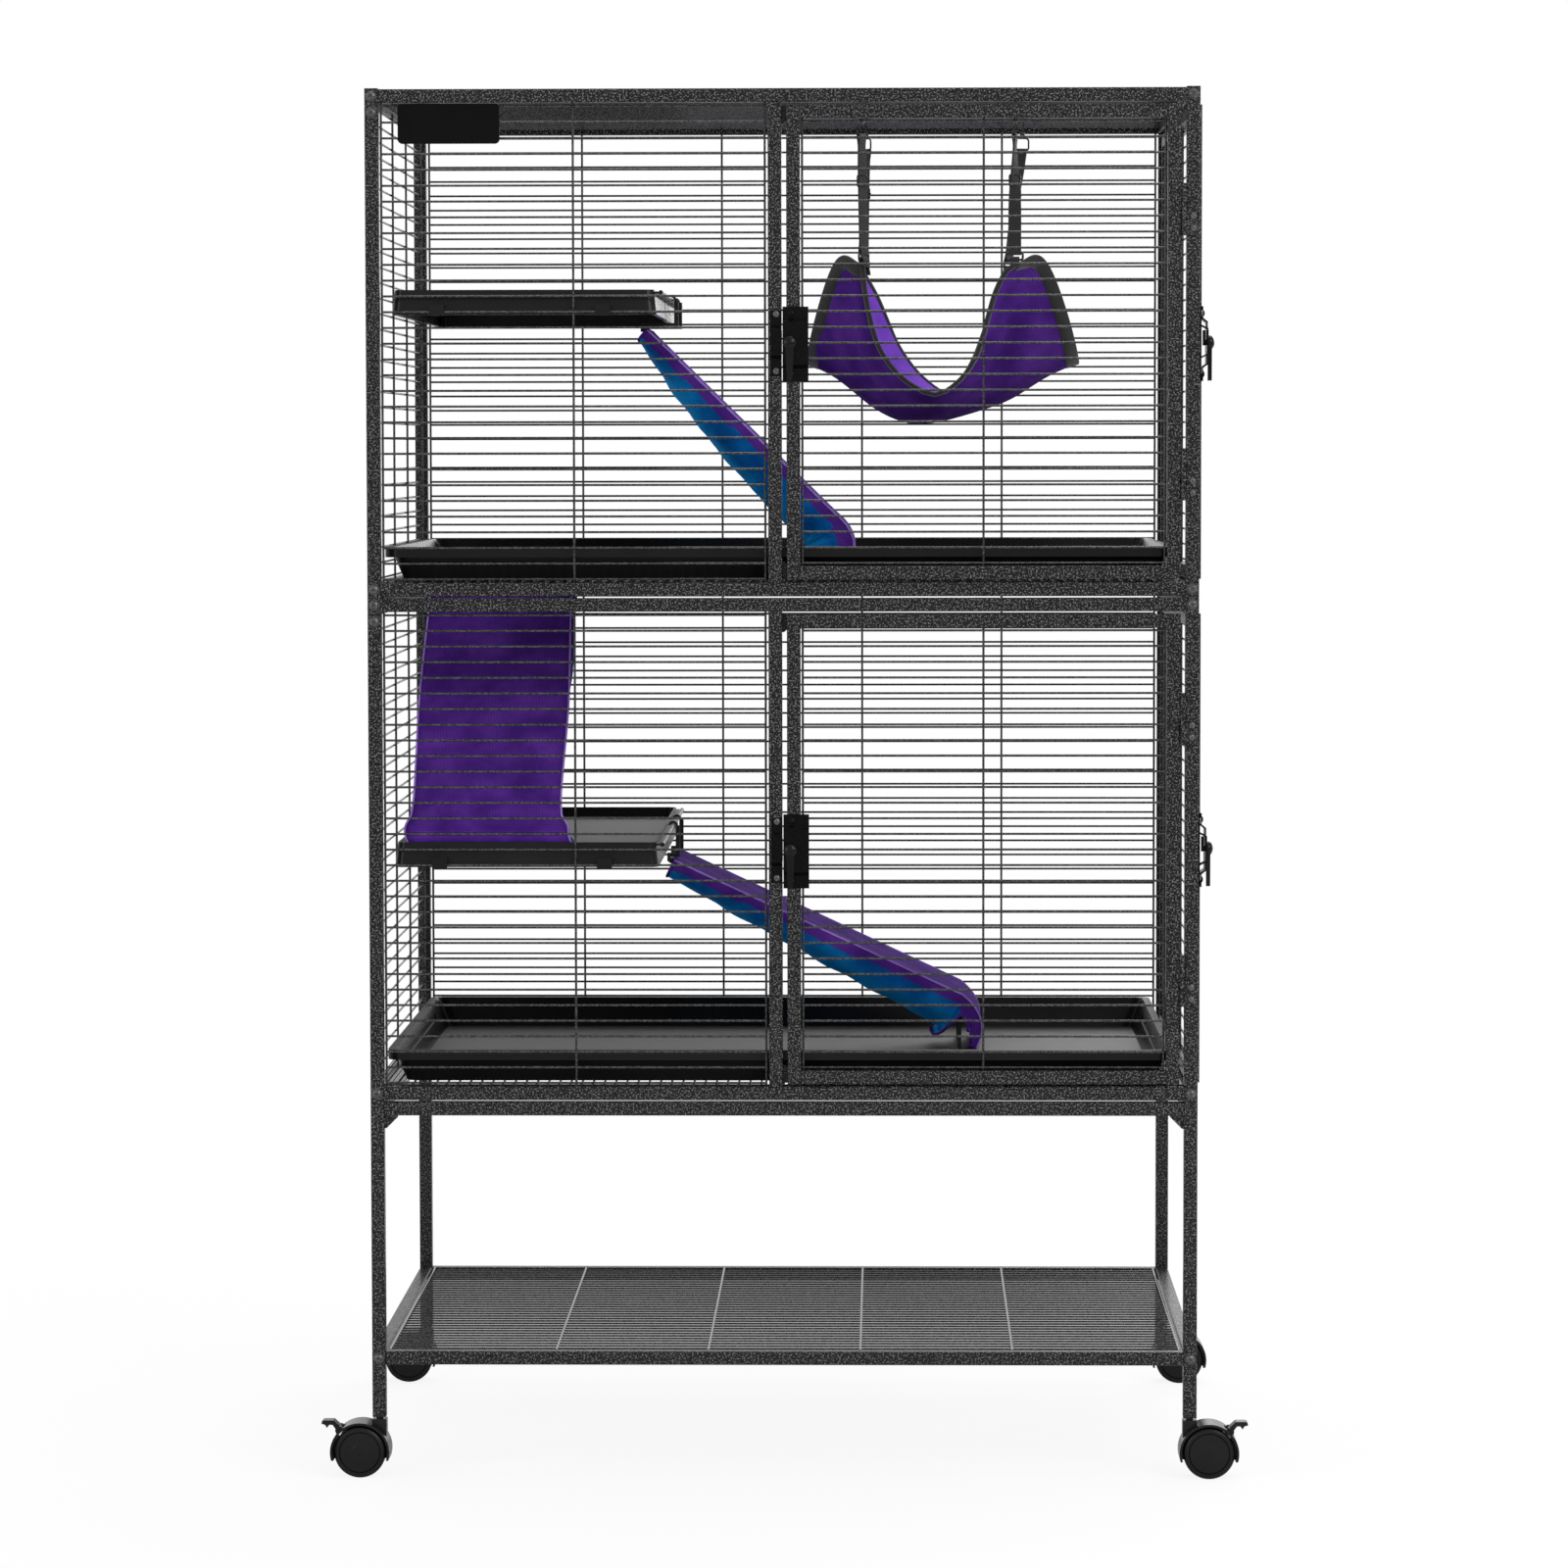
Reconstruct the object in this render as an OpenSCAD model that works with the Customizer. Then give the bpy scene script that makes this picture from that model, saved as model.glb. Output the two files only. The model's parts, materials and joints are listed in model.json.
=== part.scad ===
// Two-tier wire ferret cage on a rolling stand.
// X runs to the right, Y to the back and Z up. The origin is on the floor under the middle of the frame.

/* [Frame] */
// Width over the corner posts
cage_w = 914; // [880:1:980]
// Depth over the corner posts
cage_d = 630; // [610:1:680]
// Height of one tier
tier_h = 557; // [540:1:600]
// Height of the stand, from the floor to the first tier
stand_top = 419; // [360:1:480]
// Side of the square tube
tube = 15; // [14:0.5:16]
// Wall of the square tube
tube_wall = 1.2; // [1:0.1:1.5]
// Rounding of the tube's long edges
tube_round = 1.5; // [0.5:0.1:2]
// Step of the rails back from the ends of the posts
rail_inset = 1; // [0.5:0.1:2]
// Underside of the stand's shelf rails above the floor
shelf_rail_z = 125; // [110:1:180]
// Place of the door post, from the middle of the front
door_post_x = -8.2; // [-20:0.1:10]
// Leg of the small corner plates
plate_leg = 22; // [15:1:30]
// Thickness of the small corner plates
plate_t = 2; // [1.5:0.1:2.5]

/* [Wire] */
// Diameter of the wires
wire_d = 2.5; // [2:0.1:2.8]
// Distance between the level wires
wire_pitch = 17.25; // [16.5:0.05:18]
// Distance between the floor wires
floor_pitch = 12.45; // [11:0.05:14]
// Distance between the bars behind the level wires
bar_pitch = 169; // [150:1:180]
// Depth by which crossing wires are welded into each other
weld = 0.2; // [0.1:0.05:0.4]

/* [Doors] */
// Gap between a door and its posts
door_gap = 5.2; // [4.8:0.1:6]
// Gap between a door and its rails
door_gap_z = 3; // [2.5:0.1:4]
// Step of the side doors out of the post faces
side_proud = 3; // [1:0.1:4]

/* [Hinges] */
// Height of a hinge
hinge_h = 57; // [50:1:70]
// Centre of each hinge from the nearer end of its tier
hinge_end = 134; // [100:1:160]
// Radius of the hinge barrel
barrel_r = 3; // [2.6:0.1:3.1]
// Radius of the hinge pin
pin_r = 1.6; // [1.2:0.1:1.9]
// Radial play of the pin
pin_play = 0.05; // [0.03:0.01:0.1]
// Thickness of the hinge leaves, keepers and latch plates
sheet_t = 1.5; // [1.2:0.1:1.8]
// Reach of a hinge leaf from the middle of the gap
leaf_w = 14; // [13:0.1:16]

/* [Latches] */
// Place of the latch spindle in from the edge of the door
latch_in = 3.7; // [3.5:0.1:6]
// Depth of the space under the raised middle of the latch plate
latch_room = 5; // [4.5:0.1:6]
// Reach of the tongue from the spindle
tongue_len = 13.5; // [13:0.1:15]
// Thickness of the tongue
tongue_t = 3; // [2:0.1:3.2]
// Radius of the latch spindle
spindle_r = 3; // [2.5:0.1:3.2]
// Diameter of the domed knob
knob_d = 16; // [14:0.5:20]
// Height of the domed knob
knob_h = 7.5; // [6:0.5:9]
// Length of the hanging tail of the handle
tail_len = 42; // [32:1:48]

/* [Casters] */
// Radius of the wheels
wheel_r = 28.5; // [27:0.1:30]
// Width of one of the twin wheels
wheel_w = 16; // [14:0.5:17]
// Space between the twin wheels
wheel_gap = 8; // [7.4:0.1:10]
// Distance of the axle behind the swivel axis
caster_trail = 21; // [19:0.5:23]
// Radius of the swivel stem
stem_r = 4; // [3.5:0.1:4.5]
// Radius of the axle
axle_r = 2.97; // [2.5:0.01:3.2]
// Radial room between wheel and hood
hood_room = 2; // [1.5:0.1:3]
// Wall of the hood
hood_t = 2.5; // [2:0.1:3]
// Underside of the legs above the floor
leg_z = 68; // [67:0.5:74]
// Length of the plug inside each leg
plug_len = 30; // [20:1:40]

/* [Trays] */
// Height of a tray
tray_h = 36; // [30:1:42]
// Wall of a tray
tray_t = 2.5; // [2:0.1:3]
// Height of the band that hangs from the rim
tray_lip = 11; // [8:0.5:14]
// Width of the flat rim
tray_rim = 8; // [7:0.5:10]
// Inward slope of a tray wall from rim to base
tray_slope = 14; // [8:0.5:18]
// Room between the tray and the left wall
tray_left = 2; // [1.5:0.1:4]
// Room between the tray and the right wall
tray_right = 10; // [6:0.5:14]
// Room between the tray and the front wires
tray_front = 3; // [2.5:0.1:5]
// Room between the tray and the back wires
tray_back = 10; // [6:0.5:14]
// Width of the ramp opening in the upper tray
hatch_w = 180; // [176:1:190]
// Depth of the ramp opening in the upper tray
hatch_d = 213; // [190:1:230]
// Middle of the ramp opening, measured from the left inner face
hatch_x = 112; // [106:1:125]
// Back edge of the ramp opening in front of the middle of the cage
hatch_back = 22; // [10:1:40]
// Height of the collar round the ramp opening over the tray floor
collar_h = 19.7; // [12:0.5:24]

/* [Shelves] */
// Width of a half shelf
shelf_w = 292; // [260:1:310]
// Room between the shelf and the left inner face
shelf_left = 12; // [8:1:20]
// Room between the shelf and the wires in front of it
shelf_front = 2.95; // [2:0.05:6]
// Room between the shelf and the wires behind it
shelf_back = 8.95; // [4:0.05:12]
// Height of a shelf
shelf_h = 27.3; // [24:0.1:34]
// Depth of the shelf floor under its rim
shelf_deep = 11; // [8:0.5:14]
// Wall of a shelf
shelf_t = 2.5; // [2:0.1:3]
// Flare of the shelf walls from rim to underside
shelf_flare = 3; // [1:0.1:5]
// Level wire that carries the lower shelf, counted from the floor of its tier
lower_wire = 14; // [12:1:16]
// Level wire that carries the upper shelf, counted from the floor of its tier
upper_wire = 17; // [16:1:18]
// Width of a shelf hook
hook_w = 16.6; // [12:0.1:22]
// Radius of the bead that the ramps hang on
bead_r = 2.5; // [2:0.1:2.8]
// Distance of the bead from the rim of the shelf
bead_out = 7; // [6.8:0.1:9]

/* [Ramps] */
// Width of a ramp board
board_w = 150; // [130:1:156]
// Thickness of a ramp board
board_t = 4; // [3:0.1:5]
// Depth of the ribs along the board edges
rib_h = 8; // [6:0.5:9]
// Slope of the upper ramp in degrees
upper_slope = 44.5; // [42:0.5:50]
// Slope of the lower ramp in degrees
lower_slope = 25.1; // [24:0.1:30]
// Slope of the middle ramp in degrees
middle_slope = 45; // [44:0.5:50]
// Height of the turned-down foot of the upper and lower ramps
foot_h = 65; // [50:1:75]
// Height of the turned-down foot of the middle ramp
middle_foot = 37; // [32:1:45]
// Middle of the upper and lower ramps behind the middle of the cage
ramp_y = 70; // [30:1:110]
// Half width of a cloth sleeve
sleeve_half = 86; // [82:0.5:87]
// Thickness of the cloth of a sleeve
sleeve_t = 1.6; // [1.2:0.1:2]
// Depth of the sleeve at its upper mouth
sleeve_top_sag = 20; // [14:1:26]
// Depth of the sleeve above the foot
sleeve_sag = 50; // [34:1:52]

/* [Hammock] */
// Middle of the hammock to the right of the middle of the cage
hammock_x = 173.4; // [165:0.1:180]
// Distance between the left and right straps
strap_gap = 169.6; // [150:0.1:200]
// Level wires of the roof from the middle to the straps
strap_row = 9; // [7:1:10]
// Length of a strap from the roof wire to the bar of its ring
strap_len = 174.5; // [150:0.5:185]
// Bulge of the cloth past the straps, left and right
cloth_bulge = 70; // [40:0.5:76]
// Depth of the cloth along its front and back edges
edge_sag = 147; // [130:1:165]
// Further depth of the cloth in the middle
pouch_sag = 29; // [20:1:44]
// Depth of the left and right edges in the middle
side_sag = 107; // [90:1:120]
// Height that each corner of the cloth stands over its ring
corner_lift = 16; // [6:1:20]
// Thickness of the hammock
cloth_t = 3; // [2:0.1:4]
// Width of the webbing of a strap
strap_w = 15; // [12:0.5:18]
// Thickness of the webbing
strap_t = 2.2; // [1.6:0.1:2.6]
// Slide buckle under the roof wire
buckle_z = 80; // [60:1:100]

/* [Name plate] */
// Width of the bare plate
name_w = 111.6; // [90:0.1:130]
// Height of the bare plate
name_h = 43.7; // [36:0.1:46]
// Thickness of the bare plate
name_t = 3; // [2:0.1:4]

/* [Hidden] */

frame_grey = "#454647";
wire_grey = "#3a3b3c";
black = "#17181a";
rubber_black = "#222325";
purple = "#4b1f8a";

// Rest gap under a piece that lies on another
rest = 0.3;
half_w = cage_w / 2;
half_d = cage_d / 2;
post_x = half_w - tube / 2;
post_y = half_d - tube / 2;
inner_x = half_w - tube;
inner_y = half_d - tube;
tiers = [stand_top, stand_top + tier_h];
rail_low = rail_inset;
rail_high = tier_h - rail_inset - tube;
clear_low = rail_low + tube;
clear_h = rail_high - clear_low;
mid_z = tier_h / 2;

// Wires: a bar lies this far behind the centre of the runs
bar_off = wire_d - weld;
wire_over = 1;
function run_count(len) = floor((len - 2 * wire_d) / wire_pitch) + 1;
function run_levels(mid, len) =
    [for (k = [0:run_count(len) - 1]) mid + (k - (run_count(len) - 1) / 2) * wire_pitch];
function bar_row(half, step) = concat([-half],
    [for (k = [-8:7]) if (abs((k + 0.5) * step) < half - 60) (k + 0.5) * step], [half]);
wide_bars = bar_row(inner_x - 3.5, bar_pitch);
deep_bars = bar_row(inner_y - 3.5, bar_pitch);
floor_z = clear_low + wire_d / 2;
function tier_wire(k) = run_levels(mid_z, clear_h)[k];

// Doors
front_door_w = inner_x - door_post_x - tube / 2 - 2 * door_gap;
side_door_w = 2 * inner_y - 2 * door_gap;
door_z = clear_low + door_gap_z;
door_h = clear_h - 2 * door_gap_z;
axis_out = barrel_r - 1;
half_hinge = hinge_h / 2;
screw_r = 2;
screw_head_r = 3.5;
screw_head_h = 2;
screw_hole_r = 2.2;
latch_top = 39.5;
latch_low = -42.3;
latch_rise = [-24.2, 22.8];
keeper_top = 35.6;
keeper_low = -36.3;
keeper_rise = [-13.7, 15.2];
keeper_w = 12;

// Casters
axle_z = wheel_r;
hood_in = wheel_r + hood_room;
hood_out = hood_in + hood_t;
hood_half = wheel_gap / 2 + wheel_w;
web_half = wheel_gap / 2 - 1;
neck_w = 16;
neck_top = leg_z - 4;
brake_x = caster_trail + (hood_in + hood_t / 2) * cos(45) + 0.8;
brake_z = axle_z + (hood_in + hood_t / 2) * sin(45) + 0.8;
brake_half = 7.6;

// Trays
tray_x0 = -inner_x + tray_left;
tray_x1 = inner_x - tray_right;
tray_y0 = -inner_y + tray_front;
tray_y1 = inner_y - tray_back;
tray_z = clear_low + wire_d + rest;
hatch_mid = -inner_x + hatch_x;
hatch_y1 = -hatch_back;
hatch_y0 = hatch_y1 - hatch_d;
hatch_play = 5;
groove_w = 7;
groove_t = 1;

// Shelves, each with its underside a little below the wire that carries it
shelf_x0 = -inner_x + shelf_left;
shelf_x1 = shelf_x0 + shelf_w;
shelf_y0 = -post_y + bar_off + wire_d / 2 + shelf_front;
shelf_y1 = post_y - bar_off - wire_d / 2 - shelf_back;
hook_up = 2.75;
lower_shelf_z = tiers[0] + tier_wire(lower_wire) - hook_up;
upper_shelf_z = tiers[1] + tier_wire(upper_wire) - hook_up;
shelf_floor = shelf_h - shelf_deep;
bead_in = 10;
bead_x = shelf_x1 - shelf_flare + bead_out;
bead_z = shelf_h - 3;
grip_y = 55;
grip_w = 6;
grip_play = 2;

// Ramps: where each deck starts, seen from the bead, and how long it gets
ring_in = bead_r + rest;
ring_out = ring_in + 2.7;
upper_drop = [-32, -32.5];
lower_drop = [-3, -38];
upper_start = [bead_x + upper_drop.x, upper_shelf_z + bead_z + upper_drop.y];
lower_start = [bead_x + lower_drop.x, lower_shelf_z + bead_z + lower_drop.y];
middle_start = [-hatch_y1 + 2, tiers[1] - 2];
function deck_len(top, ground, foot, slope) = (top - ground - rest - foot) / sin(slope);
upper_len = deck_len(upper_start.y, tiers[1] + tray_z + tray_t, foot_h, upper_slope);
lower_len = deck_len(lower_start.y, tiers[0] + tray_z + tray_t, foot_h, lower_slope);
middle_len = deck_len(middle_start.y, lower_shelf_z + shelf_floor, middle_foot, middle_slope);

// Hammock
roof_z = tiers[1] + rail_high + tube / 2;
strap_y = strap_row * wire_pitch;
pivot_z = roof_z - strap_len;
cloth_drop = 5;
cloth_cells = 22;

// ---- Shapes that repeat ----

// Cross-section of the tube with rounded corners
module tube_outline() {
    square([tube - 2 * tube_round, tube], center = true);
    square([tube, tube - 2 * tube_round], center = true);
    for (x = [-1, 1], y = [-1, 1])
        translate([x, y] * (tube / 2 - tube_round)) circle(r = tube_round, $fn = 24);
}

// Tube along +Z from the origin, with a closed top where cap is above zero
module tube_z(len, cap = 0) {
    difference() {
        linear_extrude(len) tube_outline();
        translate([0, 0, -1])
            linear_extrude(len - cap + (cap > 0 ? 1 : 2)) square(tube - 2 * tube_wall, center = true);
    }
}

// Tube along X or Y, centred on the given length
module tube_x(len) translate([-len / 2, 0, 0]) rotate([0, 90, 0]) tube_z(len);
module tube_y(len) translate([0, len / 2, 0]) rotate([90, 0, 0]) tube_z(len);

// Four rails between the posts at one height of their centre line
module rail_ring(z) {
    for (y = [-post_y, post_y]) translate([0, y, z]) tube_x(2 * inner_x);
    for (x = [-post_x, post_x]) translate([x, 0, z]) tube_y(2 * inner_y);
}

// One round wire along X
module run_wire(x0, x1) translate([x0, 0, 0]) rotate([0, 90, 0]) cylinder(h = x1 - x0, d = wire_d, $fn = 24);

// One drawn bar along Z with flats, welded behind the runs
module bar_wire(len) rotate(22.5) cylinder(h = len, d = wire_d / cos(22.5), $fn = 8);

// Wire panel in its own XZ plane: level runs, with bars behind them that end on the tubes
module wire_panel(levels, bars, z0, z1) {
    for (z = levels)
        translate([0, 0, z]) run_wire(min(bars) - wire_over, max(bars) + wire_over);
    for (x = bars)
        translate([x, bar_off, z0]) bar_wire(z1 - z0);
}

// Floor panel: runs from front to back on the rails, bars under them
module floor_panel(hatch) {
    count = floor((2 * inner_x - 2 * wire_d) / floor_pitch) + 1;
    reach = inner_y + 2;
    x0 = hatch_mid - hatch_w / 2 - hatch_play;
    x1 = hatch_mid + hatch_w / 2 + hatch_play;
    y0 = hatch_y0 - hatch_play;
    y1 = hatch_y1 + hatch_play;
    xs = [for (i = [0:count - 1]) (i - (count - 1) / 2) * floor_pitch];
    for (x = xs) {
        cut = hatch && x > x0 && x < x1;
        at_post = abs(x - door_post_x) < (tube + wire_d) / 2;
        front = at_post ? inner_y : reach;
        spans = cut ? [[-front, y0], [y1, reach]] : [[-front, reach]];
        for (s = spans)
            translate([x, s[0], floor_z]) rotate([-90, 0, 0]) cylinder(h = s[1] - s[0], d = wire_d, $fn = 24);
    }
    for (y = bar_row(inner_y - 10, bar_pitch + 24)) {
        cut = hatch && y > y0 && y < y1;
        spans = cut ? [[-inner_x, x0 - 2], [x1 + 2, inner_x]] : [[-inner_x, inner_x]];
        for (s = spans)
            translate([s[0], y, floor_z - bar_off]) rotate([0, 90, 0]) bar_wire(s[1] - s[0]);
    }
    // Wires round the hatch: two bars, and two runs welded on them
    if (hatch) {
        for (y = [y0 - 3, y1 + 3])
            translate([x0 - 3 - wire_over, y, floor_z - bar_off]) rotate([0, 90, 0])
                bar_wire(x1 - x0 + 6 + 2 * wire_over);
        for (x = [x0 - 3, x1 + 3])
            translate([x, y0 - 3 - wire_over, floor_z]) rotate([-90, 0, 0])
                cylinder(h = y1 - y0 + 6 + 2 * wire_over, d = wire_d, $fn = 24);
    }
}

// Pan-head screw, its head on top of a sheet at z = 0 and its shank below
module screw(shank) {
    rotate_extrude($fn = 32) polygon([[0, -shank], [screw_r, -shank], [screw_r, 0], [screw_head_r, 0],
        [screw_head_r, 0.8], [screw_head_r - 0.7, screw_head_h - 0.5], [1.8, screw_head_h],
        [1.2, screw_head_h - 0.4], [0, screw_head_h - 0.4]]);
}

// Button-head bolt with its washer, standing on z = 0
module bolt() {
    difference() {
        rotate_extrude($fn = 40) polygon([[0, -6], [3, -6], [3, 0], [6, 0], [6, 1], [4.9, 1],
            [4.9, 2], [4.2, 3.3], [2.6, 4.2], [0, 4.4]]);
        translate([0, 0, 2.4]) cylinder(h = 3, d = 4, $fn = 6);
    }
}

// Faces the front: +Z of the child points to -Y
module face_front() rotate([90, 0, 0]) children();

// ---- Frame and stand ----

module stand_legs() color(frame_grey)
    for (x = [-1, 1], y = [-1, 1])
        difference() {
            translate([x * post_x, y * post_y, leg_z]) tube_z(stand_top - leg_z, tube_wall);
            if (y < 0)
                translate([x * post_x, -half_d + 3, shelf_rail_z + tube / 2]) face_front()
                    cylinder(h = 4, r = 3.2, $fn = 32);
        }

module stand_rails() color(frame_grey) {
    rail_ring(shelf_rail_z + tube / 2);
    rail_ring(stand_top - rail_inset - tube / 2);
}

module stand_grille() color(wire_grey)
    translate([0, 0, shelf_rail_z + tube - 3.1]) rotate([90, 0, 0])
        wire_panel(run_levels(0, 2 * inner_y), wide_bars, -inner_y, inner_y);

// Stop behind the corner of a door, from the face of its post
module stop_plate(behind) translate([0, plate_t, 0]) face_front() linear_extrude(plate_t)
    polygon([[-behind, 0], [plate_leg, 0], [plate_leg, 2], [2, plate_leg - 2], [-behind, plate_leg - 2]]);

module corner_plates() color(frame_grey) {
    stop_z = clear_low + wire_d + 0.5;
    for (t = tiers, side = [0, 1]) {
        translate([door_post_x + tube / 2, -inner_y, t + mid_z]) mirror([0, 0, side])
            translate([0, 0, stop_z - mid_z]) stop_plate(8);
        translate([half_w + side_proud - tube, -inner_y, t + mid_z]) mirror([0, 0, side])
            translate([0, 0, stop_z - mid_z]) rotate([0, 0, 90]) stop_plate(0);
    }
    for (x = [0, 1], y = [-1, 1])
        mirror([x, 0, 0]) translate([-inner_x, y * post_y + plate_t / 2, stand_top - rail_inset - tube])
            face_front() linear_extrude(plate_t) polygon([[0, 0], [0, -15], [2, -15], [15, -2], [15, 0]]);
}

module bolt_hole(x, z) translate([x, -half_d + 3, z]) face_front() cylinder(h = 4, r = 3.2, $fn = 32);

// Heights of the bolts in the front of the corner posts; the two inner ones are in the left post only
function bolt_levels(t) = [t + rail_low + tube / 2, t + rail_high + tube / 2];
function extra_levels(t) = [t + rail_high - 10.5];

module tier_posts() color(frame_grey)
    for (t = tiers) {
        for (x = [-1, 1], y = [-1, 1])
            difference() {
                translate([x * post_x, y * post_y, t]) tube_z(tier_h, tube_wall);
                if (y < 0)
                    for (z = concat(bolt_levels(t), x < 0 ? extra_levels(t) : []))
                        bolt_hole(x * post_x, z);
            }
        translate([door_post_x, -post_y, t + clear_low]) tube_z(clear_h);
    }

module tier_rails() color(frame_grey)
    for (t = tiers) {
        rail_ring(t + rail_low + tube / 2);
        rail_ring(t + rail_high + tube / 2);
    }

module front_grilles() color(wire_grey)
    for (t = tiers) {
        left = -inner_x + bar_off;
        right = door_post_x - tube / 2 - 3.3;
        translate([0, -post_y, t])
            wire_panel(run_levels(mid_z, clear_h), [left, (left + right) / 2, right],
                clear_low, rail_high);
    }

module back_grilles() color(wire_grey)
    for (t = tiers)
        translate([0, post_y, t]) rotate([0, 0, 180])
            wire_panel(run_levels(mid_z, clear_h), wide_bars, clear_low, rail_high);

module side_grilles() color(wire_grey)
    for (t = tiers)
        translate([-post_x, 0, t]) rotate([0, 0, -90])
            wire_panel(run_levels(mid_z, clear_h), deep_bars, clear_low, rail_high);

module lower_floor_grille() color(wire_grey) translate([0, 0, tiers[0]]) floor_panel(false);
module upper_floor_grille() color(wire_grey) translate([0, 0, tiers[1]]) floor_panel(true);

module roof_grille() color(wire_grey)
    translate([0, 0, roof_z]) rotate([90, 0, 0])
        wire_panel(run_levels(0, 2 * inner_y), wide_bars, -inner_y, inner_y);

// Bare plate, held by two studs with discs behind the wires
module name_plate() color(black) {
    x0 = -inner_x + 21.2;
    top = roof_z - 8.3;
    stud_z = tiers[1] + (tier_wire(run_count(clear_h) - 1) + tier_wire(run_count(clear_h) - 2)) / 2;
    wire_front = -post_y - wire_d / 2;
    translate([0, wire_front - rest, 0]) face_front() linear_extrude(name_t) {
        translate([x0 + 5, top - name_h]) square([name_w - 10, name_h]);
        translate([x0, top - name_h + 5]) square([name_w, name_h - 10]);
        for (x = [x0 + 5, x0 + name_w - 5], z = [top - 5, top - name_h + 5])
            translate([x, z]) circle(r = 5, $fn = 32);
    }
    for (x = [-0.32, 0.32])
        translate([x0 + name_w * (0.5 + x), 0, stud_z]) face_front() {
            translate([0, 0, -wire_front - wire_d - 1.6]) cylinder(h = wire_d + 1.6 + rest, r = 2.5, $fn = 24);
            translate([0, 0, -wire_front - wire_d - 1.6]) cylinder(h = 1.5, r = 9.4, $fn = 32);
        }
}

// ---- Doors: the hinge gap is at x = 0, the post face at y = 0, the foot of the tier at z = 0 ----

module at_front_door(t) translate([inner_x - door_gap / 2, -half_d, tiers[t]]) children();
module at_side_door(t) translate([half_w, inner_y - door_gap / 2, tiers[t]]) rotate([0, 0, 90]) children();
module at_latch(w, proud) translate([-door_gap / 2 - w + latch_in, -proud, mid_z]) children();

// Tube frame of a door, hollow all the way round, with a drain hole under it
module door_frame(w, proud) {
    x1 = -door_gap / 2;
    void_s = tube - 2 * tube_wall;
    translate([0, tube / 2 - proud, door_z]) difference() {
        union() {
            for (x = [x1 - tube / 2, x1 - w + tube / 2])
                translate([x, 0, 0]) linear_extrude(door_h) tube_outline();
            for (z = [tube / 2, door_h - tube / 2])
                translate([x1 - w + tube, 0, z]) rotate([0, 90, 0]) linear_extrude(w - 2 * tube)
                    tube_outline();
        }
        for (x = [x1 - tube / 2, x1 - w + tube / 2])
            translate([x - void_s / 2, -void_s / 2, tube_wall]) cube([void_s, void_s, door_h - 2 * tube_wall]);
        for (z = [tube / 2, door_h - tube / 2])
            translate([x1 - w + tube / 2, -void_s / 2, z - void_s / 2]) cube([w - tube, void_s, void_s]);
        translate([x1 - w / 2, 0, -1]) cylinder(h = tube_wall + 2, r = 2, $fn = 24);
    }
}

module door_wires(w, proud, middle) {
    x0 = -door_gap / 2 - w + tube + 2.3;
    x1 = -door_gap / 2 - tube - 2.3;
    mid = (x0 + x1) / 2;
    translate([0, tube / 2 - proud, 0])
        wire_panel(run_levels(mid_z, door_h - 2 * tube), concat([x0], [for (m = middle) mid + m], [x1]),
            door_z + tube, door_z + door_h - tube);
}

// Heights of the hinge bottoms in a tier
hinge_bottoms = [hinge_end - half_hinge, tier_h - hinge_end - half_hinge];
door_screws = [hinge_h - 21, hinge_h - 6];
post_screws = [8, 21];
leaf_screw_x = 10;

// Upper halves of the two hinges of a door: barrel with its bore, leaf and screws
module door_hinges(proud)
    for (z = hinge_bottoms)
        translate([0, -proud, z]) {
            difference() {
                union() {
                    translate([0, -axis_out, half_hinge + rest / 2])
                        cylinder(h = half_hinge - rest / 2, r = barrel_r, $fn = 40);
                    translate([-leaf_w, -sheet_t, half_hinge + rest / 2])
                        cube([leaf_w - 1.6, sheet_t, half_hinge - rest / 2]);
                }
                translate([0, -axis_out, 0]) cylinder(h = hinge_h + 1, r = pin_r + pin_play, $fn = 40);
            }
            for (s = door_screws)
                translate([-leaf_screw_x, -sheet_t, s]) face_front() screw(0.2);
        }

// Lower halves of the two hinges of a door, with the pins, on the post
module post_hinges(proud)
    for (z = hinge_bottoms)
        translate([0, 0, z]) {
            translate([0, -axis_out - proud, 0]) {
                cylinder(h = half_hinge - rest / 2, r = barrel_r, $fn = 40);
                cylinder(h = hinge_h, r = pin_r, $fn = 40);
            }
            difference() {
                union() {
                    translate([1.6, -sheet_t, 0]) cube([leaf_w - 1.6, sheet_t, half_hinge - rest / 2]);
                    translate([1.6, -axis_out - proud, 0])
                        cube([sheet_t, axis_out + proud, half_hinge - rest / 2]);
                }
                for (s = post_screws)
                    translate([leaf_screw_x, 1, s]) face_front() cylinder(h = 5, r = screw_hole_r, $fn = 24);
            }
        }

module post_hinge_screws()
    for (z = hinge_bottoms, s = post_screws)
        translate([leaf_screw_x, -sheet_t, z + s]) face_front() screw(sheet_t);

// Sheet bent into a hat: flat ends, and a middle raised by room
module hat_strip(x0, x1, z0, z1, rise, room) {
    flank = 4;
    inset = sheet_t * 0.8;
    translate([x0, 0, 0]) rotate([90, 0, 90]) linear_extrude(x1 - x0)
        polygon([[0, z0], [0, rise[0] - flank + inset], [-room, rise[0] + inset],
            [-room, rise[1] - inset], [0, rise[1] + flank - inset], [0, z1], [-sheet_t, z1],
            [-sheet_t, rise[1] + flank], [-room - sheet_t, rise[1]], [-room - sheet_t, rise[0]],
            [-sheet_t, rise[0] - flank], [-sheet_t, z0]]);
}

latch_x0 = -latch_in - door_gap + 1.1;
latch_x1 = tube - latch_in + 9.2;
latch_screws = [[1.6, 32], [1.6, -34.5]];

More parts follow.
